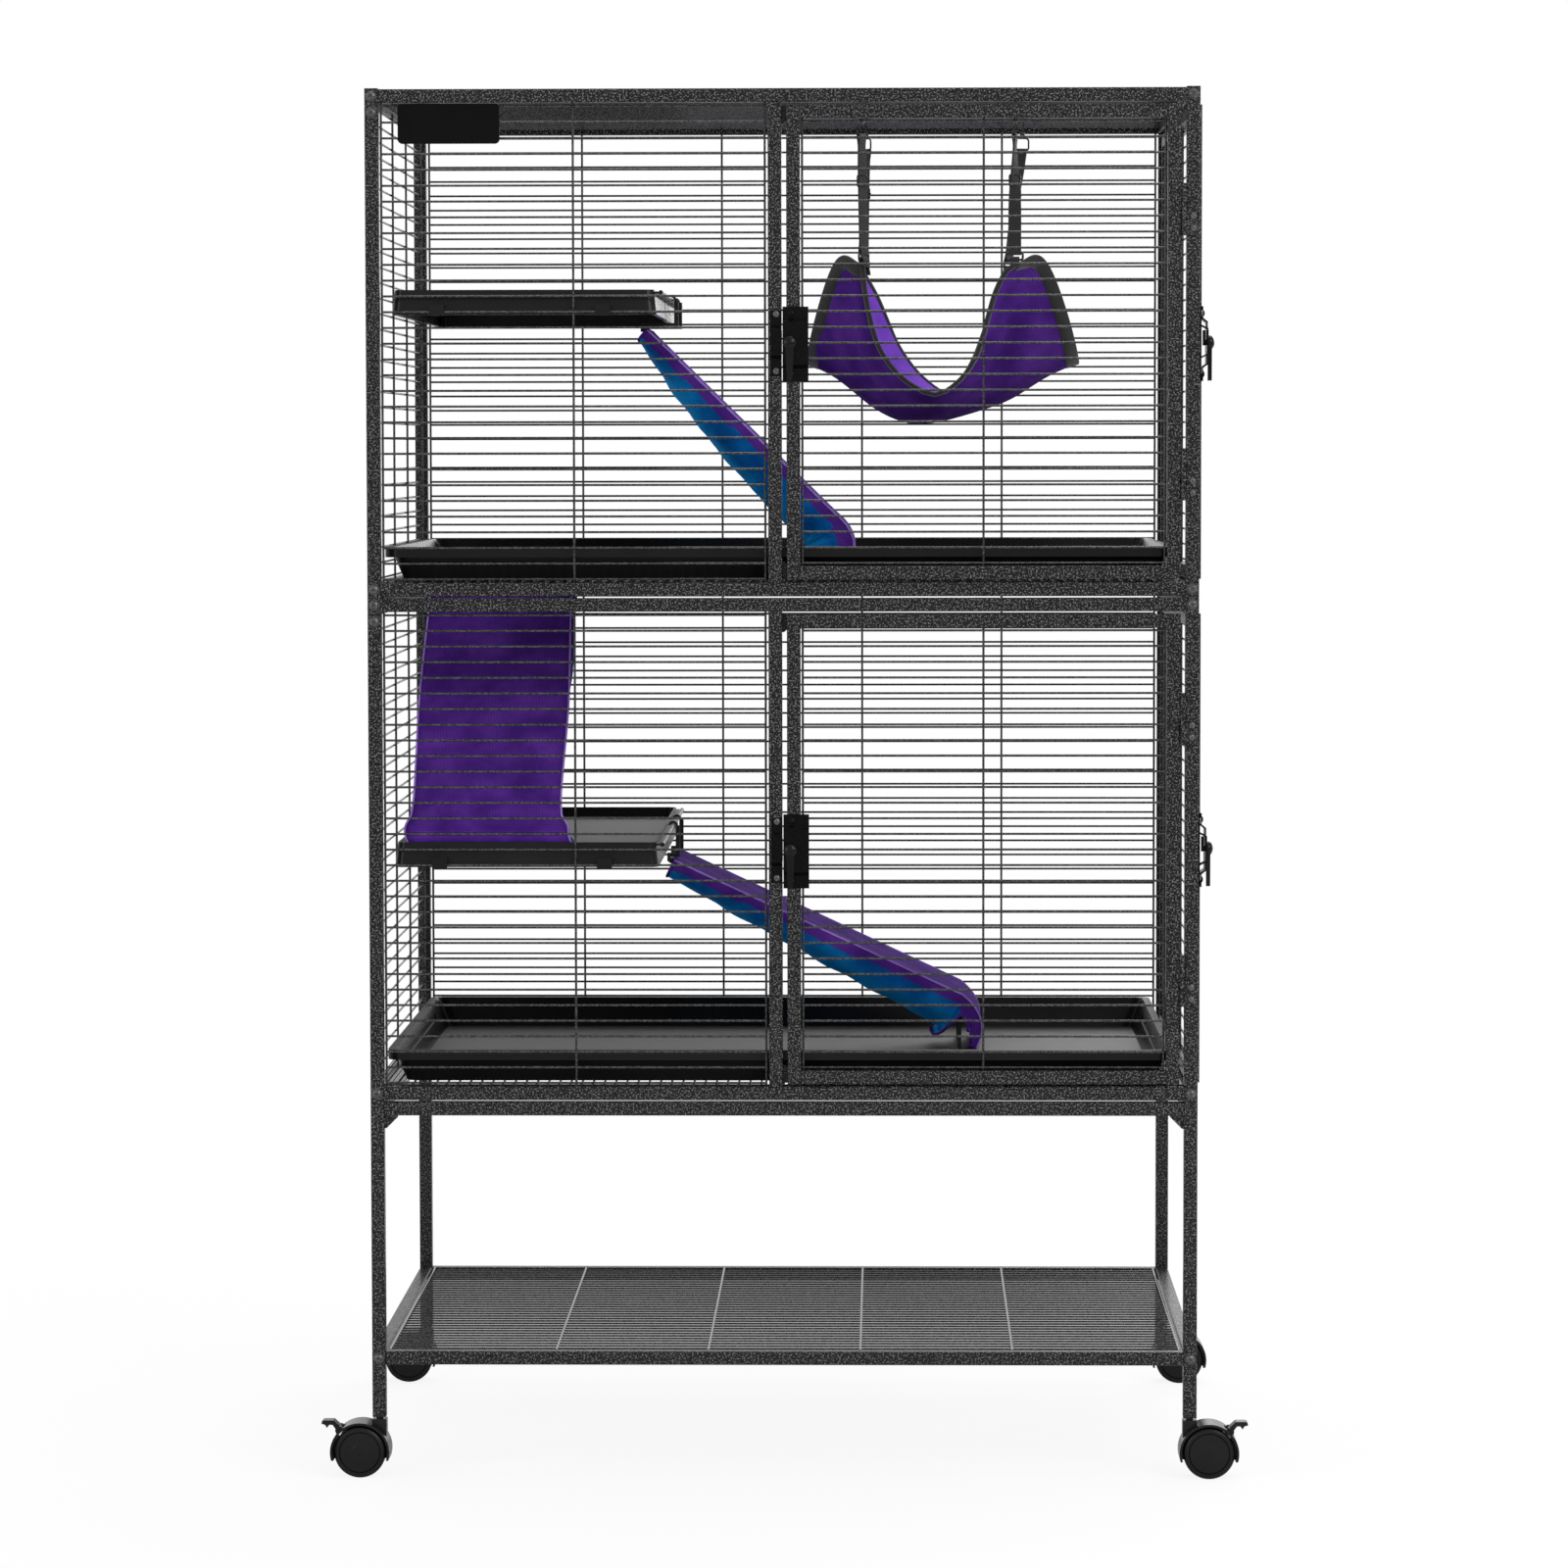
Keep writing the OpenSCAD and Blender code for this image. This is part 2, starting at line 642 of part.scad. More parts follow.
// Cover of a latch with the bore for its spindle
module latch_cover() {
    difference() {
        hat_strip(latch_x0, latch_x1, latch_low, latch_top, latch_rise, latch_room);
        translate([0, 1, 0]) face_front()
            cylinder(h = latch_room + sheet_t + 2, r = spindle_r + pin_play, $fn = 40);
    }
    for (s = latch_screws)
        translate([s.x, -sheet_t, s.y]) face_front() screw(0.2);
}

// Handle of a latch: tongue inside, spindle, domed knob and hanging tail outside
module latch_handle() face_front() {
    tongue_z = latch_room - 0.8 - tongue_t;
    outside = latch_room + sheet_t + rest;
    tail_r = [5, 3];
    translate([0, 0, tongue_z]) {
        cylinder(h = tongue_t, r = 3.5, $fn = 40);
        translate([-3.5, 0, 0]) cube([7, tongue_len - 3.5, tongue_t]);
        translate([0, tongue_len - 3.5, 0]) cylinder(h = tongue_t, r = 3.5, $fn = 40);
    }
    translate([0, 0, tongue_z]) cylinder(h = outside - tongue_z + 1, r = spindle_r, $fn = 40);
    translate([0, 0, outside]) {
        rotate_extrude($fn = 64) polygon(concat([[0, 0], [knob_d / 2, 0]],
            [for (a = [0:15:90]) [(knob_d / 2 - 2) * cos(a) + 2 * cos(a), 2.5 + (knob_h - 2.5) * sin(a)]]));
        linear_extrude(4.5) {
            polygon([[-tail_r[0], 0], [tail_r[0], 0], [tail_r[1], -tail_len + tail_r[1]],
                [-tail_r[1], -tail_len + tail_r[1]]]);
            translate([0, -tail_len + tail_r[1]]) circle(r = tail_r[1], $fn = 32);
        }
    }
}

// Keeper on the post beside a latch, with its pocket open to the door
module keeper(proud) {
    edge = -latch_in - door_gap;
    room = latch_room + proud;
    lip = [keeper_rise[0] + 2, keeper_rise[1] - 2];
    difference() {
        hat_strip(edge - keeper_w, edge, keeper_low, keeper_top, keeper_rise, room);
        for (z = [keeper_low + 5.4, keeper_top - 4.3])
            translate([edge - keeper_w / 2, 1, z]) face_front()
                cylinder(h = sheet_t + 2, r = screw_hole_r, $fn = 24);
    }
    translate([edge - 0.6, -room - sheet_t - 0.9, lip[0]]) cube([1.2, sheet_t + 0.9, lip[1] - lip[0]]);
}

module keeper_screws()
    for (z = [keeper_low + 5.4, keeper_top - 4.3])
        translate([-latch_in - door_gap - keeper_w / 2, -sheet_t, z]) face_front() screw(sheet_t);

module keepers() color(black)
    for (t = [0, 1]) {
        at_front_door(t) at_latch(front_door_w, 0) keeper(0);
        at_side_door(t) at_latch(side_door_w, 0) keeper(side_proud);
    }

module hinge_leaves() color(black)
    for (t = [0, 1]) {
        at_front_door(t) post_hinges(0);
        at_side_door(t) post_hinges(side_proud);
    }

module frame_screws() color(black) {
    for (t = [0, 1]) {
        at_front_door(t) post_hinge_screws();
        at_side_door(t) post_hinge_screws();
        at_front_door(t) at_latch(front_door_w, 0) keeper_screws();
        at_side_door(t) at_latch(side_door_w, 0) keeper_screws();
        for (x = [-1, 1], z = concat(bolt_levels(tiers[t]), x < 0 ? extra_levels(tiers[t]) : []))
            translate([x * post_x, -half_d, z]) face_front() bolt();
    }
    for (x = [-1, 1])
        translate([x * post_x, -half_d, shelf_rail_z + tube / 2]) face_front() bolt();
}

module front_lower_frame() color(frame_grey) at_front_door(0) door_frame(front_door_w, 0);
module front_upper_frame() color(frame_grey) at_front_door(1) door_frame(front_door_w, 0);
module side_lower_frame() color(frame_grey) at_side_door(0) door_frame(side_door_w, side_proud);
module side_upper_frame() color(frame_grey) at_side_door(1) door_frame(side_door_w, side_proud);

side_door_bars = [-bar_pitch / 2, bar_pitch / 2];
module front_lower_wires() color(wire_grey) at_front_door(0) door_wires(front_door_w, 0, [0]);
module front_upper_wires() color(wire_grey) at_front_door(1) door_wires(front_door_w, 0, [0]);
module side_lower_wires() color(wire_grey) at_side_door(0)
    door_wires(side_door_w, side_proud, side_door_bars);
module side_upper_wires() color(wire_grey) at_side_door(1)
    door_wires(side_door_w, side_proud, side_door_bars);

module front_lower_hinges() color(black) at_front_door(0) door_hinges(0);
module front_upper_hinges() color(black) at_front_door(1) door_hinges(0);
module side_lower_hinges() color(black) at_side_door(0) door_hinges(side_proud);
module side_upper_hinges() color(black) at_side_door(1) door_hinges(side_proud);

module front_lower_latch() color(black) at_front_door(0) at_latch(front_door_w, 0) latch_cover();
module front_upper_latch() color(black) at_front_door(1) at_latch(front_door_w, 0) latch_cover();
module side_lower_latch() color(black) at_side_door(0) at_latch(side_door_w, side_proud) latch_cover();
module side_upper_latch() color(black) at_side_door(1) at_latch(side_door_w, side_proud) latch_cover();

module front_lower_handle() color(black) at_front_door(0) at_latch(front_door_w, 0) latch_handle();
module front_upper_handle() color(black) at_front_door(1) at_latch(front_door_w, 0) latch_handle();
module side_lower_handle() color(black) at_side_door(0) at_latch(side_door_w, side_proud) latch_handle();
module side_upper_handle() color(black) at_side_door(1) at_latch(side_door_w, side_proud) latch_handle();

// ---- Casters: the swivel axis is at x = y = 0, the axle lies on the +X side ----

module at_leg(sx, sy) translate([sx * post_x, sy * post_y, 0]) mirror([sx < 0 ? 1 : 0, 0, 0]) children();
module across(half, r) rotate([90, 0, 0]) cylinder(h = 2 * half, r = r, center = true, $fn = 64);

// Hood over the twin wheels, with its neck and stem; the front pair carries a brake
module caster_hood(brake) {
    difference() {
        union() {
            difference() {
                translate([caster_trail, 0, axle_z]) across(hood_half, hood_out);
                translate([-50, -50, -50]) cube([150, 100, 50 + axle_z * 0.68]);
            }
            translate([-neck_w / 2, -neck_w / 2, axle_z + 16.5])
                cube([neck_w, neck_w, neck_top - axle_z - 16.5]);
            if (brake)
                for (y = [-1, 1])
                    translate([brake_x, y * (brake_half + 2), brake_z]) across(1.6, 4.6);
        }
        for (y = [-1, 1])
            translate([caster_trail, y * (web_half + 30), axle_z]) across(30, hood_in);
        translate([caster_trail, 0, axle_z]) across(web_half + 1, axle_r + pin_play);
        if (brake)
            translate([brake_x - 6, -brake_half - 0.4, brake_z - 7.5])
                cube([40, 2 * brake_half + 0.8, 40]);
    }
    cylinder(h = leg_z + plug_len - 1, r = stem_r, $fn = 48, center = false);
    if (brake)
        translate([brake_x, 0, brake_z]) across(brake_half + 3, 1.55);
}

// The stem starts inside the neck, above the web
module hood(sx, sy, brake) color(black) at_leg(sx, sy) difference() {
    caster_hood(brake);
    translate([0, 0, -1]) cylinder(h = axle_z + 17.5, r = stem_r + 1, $fn = 32);
}

// Twin wheels with rounded treads and a raised rim, on their axle
module wheels(sx, sy) color(rubber_black) at_leg(sx, sy) translate([caster_trail, 0, axle_z]) {
    for (side = [0, 1])
        mirror([0, side, 0]) translate([0, -wheel_gap / 2, 0]) rotate([90, 0, 0])
            rotate_extrude($fn = 72) polygon([[axle_r + 0.03, 0], [wheel_r - 2, 0], [wheel_r - 0.5, 0.6],
                [wheel_r, 2], [wheel_r, wheel_w - 4.5], [wheel_r - 1, wheel_w - 2.2],
                [wheel_r - 3, wheel_w - 0.8], [wheel_r - 5.5, wheel_w - 0.6],
                [wheel_r - 6.2, wheel_w - 1.6], [wheel_r - 7, wheel_w - 0.8],
                [9, wheel_w - 0.2], [8.4, wheel_w], [axle_r + 0.03, wheel_w]]);
    across(hood_half, axle_r);
}

// Brake pedal with its barrel and upturned toe
module brake(sx) color(black) at_leg(sx, -1) translate([brake_x, 0, brake_z]) difference() {
    rotate([90, 0, 0]) linear_extrude(2 * brake_half, center = true) {
        circle(r = 3.2, $fn = 40);
        polygon([[20.2, 6.7], [19.7, 9.7], [17.7, 10.7], [6.7, 10.7], [-2.3, 2.7], [2.2, -2.3],
            [7.7, 5.4], [11.2, 5.8], [14.2, 2.2], [16.2, 5.7]]);
    }
    across(brake_half + 1, 1.6);
}

module caster_sockets() color(black)
    for (x = [-1, 1], y = [-1, 1])
        translate([x * post_x, y * post_y, 0]) difference() {
            plug = tube - 2 * tube_wall - 0.2;
            union() {
                translate([0, 0, leg_z - 1.5]) linear_extrude(1.5) tube_outline();
                translate([-plug / 2, -plug / 2, leg_z - 0.5]) cube([plug, plug, plug_len + 0.5]);
            }
            cylinder(h = leg_z + plug_len + 1, r = stem_r + pin_play, $fn = 48);
        }

module hood_front_left() hood(-1, -1, true);
module hood_front_right() hood(1, -1, true);
module hood_back_left() hood(-1, 1, false);
module hood_back_right() hood(1, 1, false);
module wheels_front_left() wheels(-1, -1);
module wheels_front_right() wheels(1, -1);
module wheels_back_left() wheels(-1, 1);
module wheels_back_right() wheels(1, 1);
module brake_left() brake(-1);
module brake_right() brake(1);

// ---- Trays ----

// Flat plate with rounded corners, centred
module round_plate(w, d, r) {
    square([w - 2 * r, d], center = true);
    square([w, d - 2 * r], center = true);
    for (x = [-1, 1], y = [-1, 1])
        translate([x * (w / 2 - r), y * (d / 2 - r)]) circle(r = r, $fn = 32);
}

// Block whose sides slope from one plate to another of the same corners
module sloped_block(w0, d0, w1, d1, h, r)
    linear_extrude(h, scale = [w1 / w0, d1 / d0], slices = 1) round_plate(w0, d0, r);

module tray(hatch) {
    w = tray_x1 - tray_x0;
    d = tray_y1 - tray_y0;
    slim = 2 * (tray_rim - tray_t);
    low = slim + 2 * tray_slope;
    translate([(tray_x0 + tray_x1) / 2, (tray_y0 + tray_y1) / 2, tray_z]) difference() {
        union() {
            sloped_block(w - low, d - low, w - slim, d - slim, tray_h - 1, 14);
            translate([0, 0, tray_h - tray_lip]) linear_extrude(tray_lip) round_plate(w, d, 16);
        }
        translate([0, 0, tray_h - tray_lip - 1]) linear_extrude(tray_lip - tray_t + 1) difference() {
            round_plate(w - 2 * tray_t, d - 2 * tray_t, 14);
            round_plate(w - slim - 2, d - slim - 2, 12);
        }
        translate([0, 0, tray_t])
            sloped_block(w - low - 2 * tray_t, d - low - 2 * tray_t, w - slim - 2 * tray_t + 2,
                d - slim - 2 * tray_t + 2, tray_h, 12);
        // Grip groove in the inside of each end
        for (s = [-1, 1])
            translate([s * ((w - low) / 2 - tray_t + tray_slope * 0.62), 0, tray_t + tray_h * 0.55])
                rotate([0, s * atan(tray_slope / tray_h), 0])
                    cube([2 * groove_t, d * 0.66, groove_w], center = true);
        if (hatch)
            translate([hatch_mid - (tray_x0 + tray_x1) / 2 - hatch_w / 2,
                hatch_y0 - (tray_y0 + tray_y1) / 2, -1]) cube([hatch_w, hatch_d, tray_t + 2]);
    }
    if (hatch)
        translate([hatch_mid, (hatch_y0 + hatch_y1) / 2, tray_z + tray_t / 2])
            linear_extrude(collar_h + tray_t / 2) difference() {
                square([hatch_w + 2 * tray_t, hatch_d + 2 * tray_t], center = true);
                square([hatch_w, hatch_d], center = true);
            }
}

module lower_tray() color(black) translate([0, 0, tiers[0]]) tray(false);
module upper_tray() color(black) translate([0, 0, tiers[1]]) tray(true);

// ---- Shelves ----

// Hook from the shelf wall over a level wire, at the front; y_wall is the wall there
module shelf_hook(y_wall, y_wire) {
    out = y_wire - wire_d / 2 - rest;
    top = hook_up + wire_d / 2 + rest;
    arm = 6.45;
    translate([-hook_w / 2, out - 2.45, top]) cube([hook_w, y_wall - out + 2.45 + 1, arm]);
    translate([-hook_w / 2, out - 2.45, -1]) cube([hook_w, 2.45, top + 1.5]);
}

module shelf(z) translate([0, 0, z]) {
    w = shelf_w;
    d = shelf_y1 - shelf_y0;
    mid_x = shelf_x0 + w / 2;
    mid_y = (shelf_y0 + shelf_y1) / 2;
    slim = 2 * shelf_flare;
    translate([mid_x, mid_y, 0]) difference() {
        sloped_block(w, d, w - slim, d - slim, shelf_h, 10);
        translate([0, 0, -1])
            linear_extrude(shelf_floor - shelf_t + 1) round_plate(w - slim - 2 * shelf_t, d - slim - 2 * shelf_t, 8);
        translate([0, 0, shelf_floor])
            linear_extrude(shelf_h) round_plate(w - slim - 2 * shelf_t, d - slim - 2 * shelf_t, 8);
    }
    for (x = [-0.327, 0.297])
        translate([mid_x + x * w, 0, 0]) {
            shelf_hook(shelf_y0 + 1, -post_y);
            mirror([0, 1, 0]) shelf_hook(-shelf_y1 + 1, -post_y);
        }
    // Bead along the open end, on a flange with gaps where the ramp grips it
    translate([0, 0, bead_z]) {
        translate([bead_x, shelf_y0 + bead_in, 0]) rotate([-90, 0, 0])
            cylinder(h = d - 2 * bead_in, r = bead_r, $fn = 32);
        difference() {
            translate([shelf_x1 - shelf_flare - 1, shelf_y0 + bead_in, -1])
                cube([bead_out + 1, d - 2 * bead_in, 2]);
            for (s = [-1, 1])
                translate([shelf_x1 - shelf_flare + 1, ramp_y + s * grip_y - grip_w / 2 - grip_play, -2])
                    cube([bead_out - 1, grip_w + 2 * grip_play, 4]);
        }
        for (s = [-1, 1])
            translate([bead_x, ramp_y + s * grip_y - grip_w / 2 - grip_play - 1, 0]) rotate([-90, 0, 0])
                cylinder(h = grip_w + 2 * grip_play + 2, r = bead_r, $fn = 32);
    }
}

module lower_shelf() color(black) shelf(lower_shelf_z);
module upper_shelf() color(black) shelf(upper_shelf_z);

// ---- Ramps: the deck starts at the origin and runs down along +X ----

function deck_end(len, slope) = [len * cos(slope), -len * sin(slope)];
module slab_y(y0, y1) translate([0, y1, 0]) rotate([90, 0, 0]) linear_extrude(y1 - y0) children();

// Folded board: deck, turned-down foot and two ribs under the deck
module ramp_board(len, slope, foot) {
    e = deck_end(len, slope);
    under = [-board_t * sin(slope), -board_t * cos(slope)];
    fold = e + [-board_t, board_t * (sin(slope) - 1) / cos(slope)];
    slab_y(-board_w / 2, board_w / 2)
        polygon([[0, 0], e, [e.x, e.y - foot], [e.x - board_t, e.y - foot], fold, under]);
    rotate([0, slope, 0])
        for (y = [-board_w / 2 + 2, board_w / 2 - 5])
            translate([6, y, -rib_h]) cube([len - 20, 3, rib_h - 1]);
}

// Hooks that hang a ramp on the bead; p is the bead seen from the start of the deck
module ramp_hooks(p)
    for (s = [-1, 1])
        slab_y(s * grip_y - grip_w / 2, s * grip_y + grip_w / 2) {
            difference() {
                union() {
                    translate(p) circle(r = ring_out, $fn = 48);
                    translate([p.x + ring_in, 1.5]) square([5, p.y - 1.5]);
                }
                translate(p) circle(r = ring_in, $fn = 48);
                translate([p.x - ring_in, p.y - ring_out - 1]) square([2 * ring_in, ring_out + 1]);
                translate([p.x - ring_out - 1, p.y - ring_out - 1]) square([ring_out + 1, ring_out - 1]);
            }
            translate([-4, 1.5]) square([p.x + ring_in + 5 + 4, 4.5]);
            translate([-4, -4]) square([4, 10]);
            translate([-1, -2]) square([4, 2]);
        }

// Tabs that go up through the hatch and over the collar of the upper tray
module middle_hooks() {
    x1 = middle_start.x - (-hatch_y1) - rest;
    collar_out = -x1 + rest;
    z_top = tiers[1] + tray_z + tray_t + collar_h + rest - middle_start.y;
    for (s = [-1, 1])
        slab_y(s * grip_y - 8, s * grip_y + 8) {
            translate([-x1, -3]) square([3, z_top + 6]);
            translate([-x1 - tray_t - 2 * rest - 3, z_top]) square([tray_t + 2 * rest + 6, 3]);
            translate([-x1 - tray_t - 2 * rest - 3, z_top - 8]) square([3, 9]);
        }
}

// Cloth sleeve: rings of a D section along the deck and down the foot, an outer and an inner skin
ring_top = 5;
ring_belly = 10;
ring_n = ring_top + ring_belly;
deck_rings = 8;
foot_rings = 4;

function mix(a, b, f) = a + (b - a) * f;
function bend(a, b, c, f) = mix(mix(a, b, f), mix(b, c, f), f);
function sag_at(f, sag) = mix(sleeve_top_sag, sag, 1 - pow(1 - f, 1.6));
function power(v, p) = sign(v) * pow(abs(v), p);

// Half-open outline of the D section: [sideways, depth], both from -1 or 0 to 1
function d_outline(k) = k < ring_top ? [-1 + 2 * k / ring_top, 0]
    : let (a = 180 * (k - ring_top) / ring_belly) [power(cos(a), 0.55), power(sin(a), 0.75)];

// Top and belly points of ring i in the plane of the slope
function sleeve_spine(i, len, slope, foot, sag) =
    let (n = [sin(slope), cos(slope)], u = [cos(slope), -sin(slope)], lift = rest + sleeve_t,
        e = deck_end(len, slope), f = min(i / deck_rings, 1),
        top8 = e + n * lift, low8 = top8 - n * sag)
    i <= deck_rings ?
        let (t = u * mix(5, len, f) + n * lift) [t, t - n * sag_at(f, sag)]
    : let (g = (i - deck_rings) / foot_rings)
        [bend(top8, e + [10, -4], e + [14, -foot + 1], g), mix(low8, e + [-34, 16 - foot], g)];

function sleeve_ring(i, len, slope, foot, sag, wall) =
    let (s = sleeve_spine(i, len, slope, foot, sag), deep = norm(s[1] - s[0]), dir = (s[1] - s[0]) / deep)
    [for (k = [0:ring_n - 1])
        let (o = d_outline(k), p = s[0] + dir * (wall + o[1] * (deep - 2 * wall)))
        [p.x, o[0] * (sleeve_half - wall), p.y]];

module ramp_sleeve(len, slope, foot, sag) {
    rings = deck_rings + foot_rings;
    outer = [for (i = [0:rings]) each sleeve_ring(i, len, slope, foot, sag, 0)];
    inner = [for (i = [0:rings]) each sleeve_ring(i, len, slope, foot, sag, sleeve_t)];
    base = len(outer);
    skin = [for (i = [0:rings - 1], k = [0:ring_n - 1])
        let (a = i * ring_n + k, b = i * ring_n + (k + 1) % ring_n) [a, b, b + ring_n, a + ring_n]];
    caps = [for (k = [0:ring_n - 1]) let (m = (k + 1) % ring_n, j = rings * ring_n)
        each [[k, k + base, m + base, m], [j + k, j + m, j + m + base, j + k + base]]];
    quads = concat(skin, [for (q = skin) [q[3] + base, q[2] + base, q[1] + base, q[0] + base]], caps);
    polyhedron(concat(outer, inner), [for (q = quads) each [[q[0], q[1], q[2]], [q[0], q[2], q[3]]]]);
}

module at_upper_ramp() translate([upper_start.x, ramp_y, upper_start.y]) children();
module at_lower_ramp() translate([lower_start.x, ramp_y, lower_start.y]) children();
module at_middle_ramp() translate([hatch_mid, -middle_start.x, middle_start.y]) rotate([0, 0, -90]) children();

module upper_ramp_board() color(black) at_upper_ramp() {
    ramp_board(upper_len, upper_slope, foot_h);
    ramp_hooks(-upper_drop);
}
module lower_ramp_board() color(black) at_lower_ramp() {
    ramp_board(lower_len, lower_slope, foot_h);
    ramp_hooks(-lower_drop);
}
module middle_ramp_board() color(black) at_middle_ramp() {
    ramp_board(middle_len, middle_slope, middle_foot);
    middle_hooks();
}
module upper_ramp_cover() color(purple) at_upper_ramp() ramp_sleeve(upper_len, upper_slope, foot_h, sleeve_sag);
module lower_ramp_cover() color(purple) at_lower_ramp() ramp_sleeve(lower_len, lower_slope, foot_h, sleeve_sag);
module middle_ramp_cover() color(purple) at_middle_ramp()
    ramp_sleeve(middle_len, middle_slope, middle_foot, middle_foot);

// ---- Hammock ----

// Point of the hanging cloth, u from left to right and v from front to back, both -1 to 1
function corner_at(c) = 45.6 * c * c * pow(1 - c, 4);
function cloth_point(u, v) = let (c = max(0, 1 - v * v))
    [hammock_x + u * (strap_gap / 2 + cloth_bulge * pow(c, 0.8)), strap_y * v,
        pivot_z - cloth_drop - (edge_sag + pouch_sag * c) * (1 - u * u) - side_sag * pow(c, 2.4) * u * u
        + corner_lift * corner_at(c) * pow(abs(u), 5)];
function cloth_normal(u, v) = let (h = 0.01,
    n = cross(cloth_point(u + h, v) - cloth_point(u - h, v), cloth_point(u, v + h) - cloth_point(u, v - h)))
    n / norm(n);

module hammock_sheet() {
    n = cloth_cells;
    side = n + 1;
    steps = [for (i = [0:n]) let (t = 2 * i / n - 1) sign(t) * pow(abs(t), 0.8)];
    top = [for (v = steps, u = steps) cloth_point(u, v)];
    low = [for (v = steps, u = steps) cloth_point(u, v) - cloth_normal(u, v) * cloth_t];
    m = side * side;
    cells = [for (j = [0:n - 1], i = [0:n - 1]) let (a = j * side + i) [a, a + side, a + side + 1, a + 1]];
    loop = concat([for (i = [0:n - 1]) i], [for (j = [0:n - 1]) j * side + n],
        [for (i = [n:-1:1]) n * side + i], [for (j = [n:-1:1]) j * side]);
    quads = concat(cells, [for (q = cells) [q[3] + m, q[2] + m, q[1] + m, q[0] + m]],
        [for (k = [0:len(loop) - 1]) let (a = loop[k], b = loop[(k + 1) % len(loop)]) [a, b, b + m, a + m]]);
    polyhedron(concat(top, low), [for (q = quads) each [[q[0], q[1], q[2]], [q[0], q[2], q[3]]]]);
}

ring_bar_r = 1.5;
ring_half = strap_w / 2 + 1.8;
ring_h = 12;

// Cloth with a sewn tab round the lower bar of each ring
module hammock_cloth() color(purple) {
    hammock_sheet();
    for (x = [-1, 1], y = [-1, 1])
        translate([hammock_x + x * strap_gap / 2, y * strap_y, pivot_z]) rotate([0, 90, 0])
            difference() {
                union() {
                    cylinder(h = strap_w - 3, r = ring_bar_r + 1.8, center = true, $fn = 32);
                    translate([0, -2.5, 1.5 - strap_w / 2]) cube([cloth_drop - rest, 5, strap_w - 3]);
                }
                cylinder(h = strap_w, r = ring_bar_r + rest, center = true, $fn = 32);
            }
}

// Strap with its snap hook round a roof wire, a slide buckle, webbing and a ring at the bottom
module strap() {
    along_x(4, 3.5, wire_d / 2 + 0.35);
    translate([-4, -1.5, -26]) cube([8, 3, 23.2]);
    translate([0, 0, -36]) cylinder(h = 11, r = 3.4, $fn = 32);
    translate([-strap_w / 2, -strap_t / 2, -strap_len + ring_h - 1])
        cube([strap_w, strap_t, strap_len - 36 - ring_h + 3]);
    translate([-strap_w / 2 - 2, -strap_t / 2 - 1.3, -buckle_z - 12]) cube([strap_w + 4, strap_t + 2.6, 12]);
    translate([0, 0, -strap_len]) {
        for (z = [0, ring_h]) translate([0, 0, z]) along_x(2 * ring_half, ring_bar_r, 0);
        for (x = [-1, 1]) translate([x * ring_half, 0, 0]) {
            cylinder(h = ring_h, r = ring_bar_r, $fn = 24);
            for (z = [0, ring_h]) translate([0, 0, z]) sphere(r = ring_bar_r, $fn = 24);
        }
    }
}
module along_x(len, r, bore) rotate([0, 90, 0]) difference() {
    cylinder(h = len, r = r, center = true, $fn = 32);
    if (bore > 0)
        cylinder(h = len + 2, r = bore, center = true, $fn = 32);
}
module strap_pair(y) for (x = [-1, 1])
    translate([hammock_x + x * strap_gap / 2, y * strap_y, roof_z]) strap();

module hammock_front_straps() color(black) strap_pair(-1);
module hammock_back_straps() color(black) strap_pair(1);

stand_legs();
stand_rails();
stand_grille();
corner_plates();
tier_posts();
tier_rails();
front_grilles();
back_grilles();
side_grilles();
lower_floor_grille();
upper_floor_grille();
roof_grille();
lower_tray();
upper_tray();
lower_shelf();
upper_shelf();
keepers();
hinge_leaves();
frame_screws();
name_plate();
caster_sockets();
middle_ramp_board();
middle_ramp_cover();
front_lower_frame();
front_lower_wires();
front_lower_hinges();
front_lower_latch();
front_lower_handle();
front_upper_frame();
front_upper_wires();
front_upper_hinges();
front_upper_latch();
front_upper_handle();
side_lower_frame();
side_lower_wires();
side_lower_hinges();
side_lower_latch();
side_lower_handle();
side_upper_frame();
side_upper_wires();
side_upper_hinges();
side_upper_latch();
side_upper_handle();
hood_front_left();
hood_front_right();
hood_back_left();
hood_back_right();
wheels_front_left();
wheels_front_right();
wheels_back_left();
wheels_back_right();
brake_left();
brake_right();
upper_ramp_board();
upper_ramp_cover();
lower_ramp_board();
lower_ramp_cover();
hammock_cloth();
hammock_front_straps();
hammock_back_straps();
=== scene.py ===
import bpy
import bmesh
import json
import math
from mathutils import Matrix, Vector


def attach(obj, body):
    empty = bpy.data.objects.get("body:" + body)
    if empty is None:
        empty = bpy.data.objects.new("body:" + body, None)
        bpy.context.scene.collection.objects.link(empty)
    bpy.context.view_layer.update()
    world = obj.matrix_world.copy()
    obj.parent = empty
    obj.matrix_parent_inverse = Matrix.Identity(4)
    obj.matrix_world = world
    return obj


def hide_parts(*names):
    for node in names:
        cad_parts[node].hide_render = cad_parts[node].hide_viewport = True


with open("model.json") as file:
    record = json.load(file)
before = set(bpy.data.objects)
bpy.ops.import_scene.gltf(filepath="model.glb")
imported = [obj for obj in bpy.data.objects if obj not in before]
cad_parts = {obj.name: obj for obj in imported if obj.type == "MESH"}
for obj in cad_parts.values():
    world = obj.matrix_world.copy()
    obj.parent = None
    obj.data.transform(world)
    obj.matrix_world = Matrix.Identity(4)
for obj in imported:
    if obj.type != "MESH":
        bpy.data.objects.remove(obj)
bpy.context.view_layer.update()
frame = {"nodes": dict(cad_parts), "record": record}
nodes = frame["nodes"]
print("frame loaded:", len(nodes), "nodes")

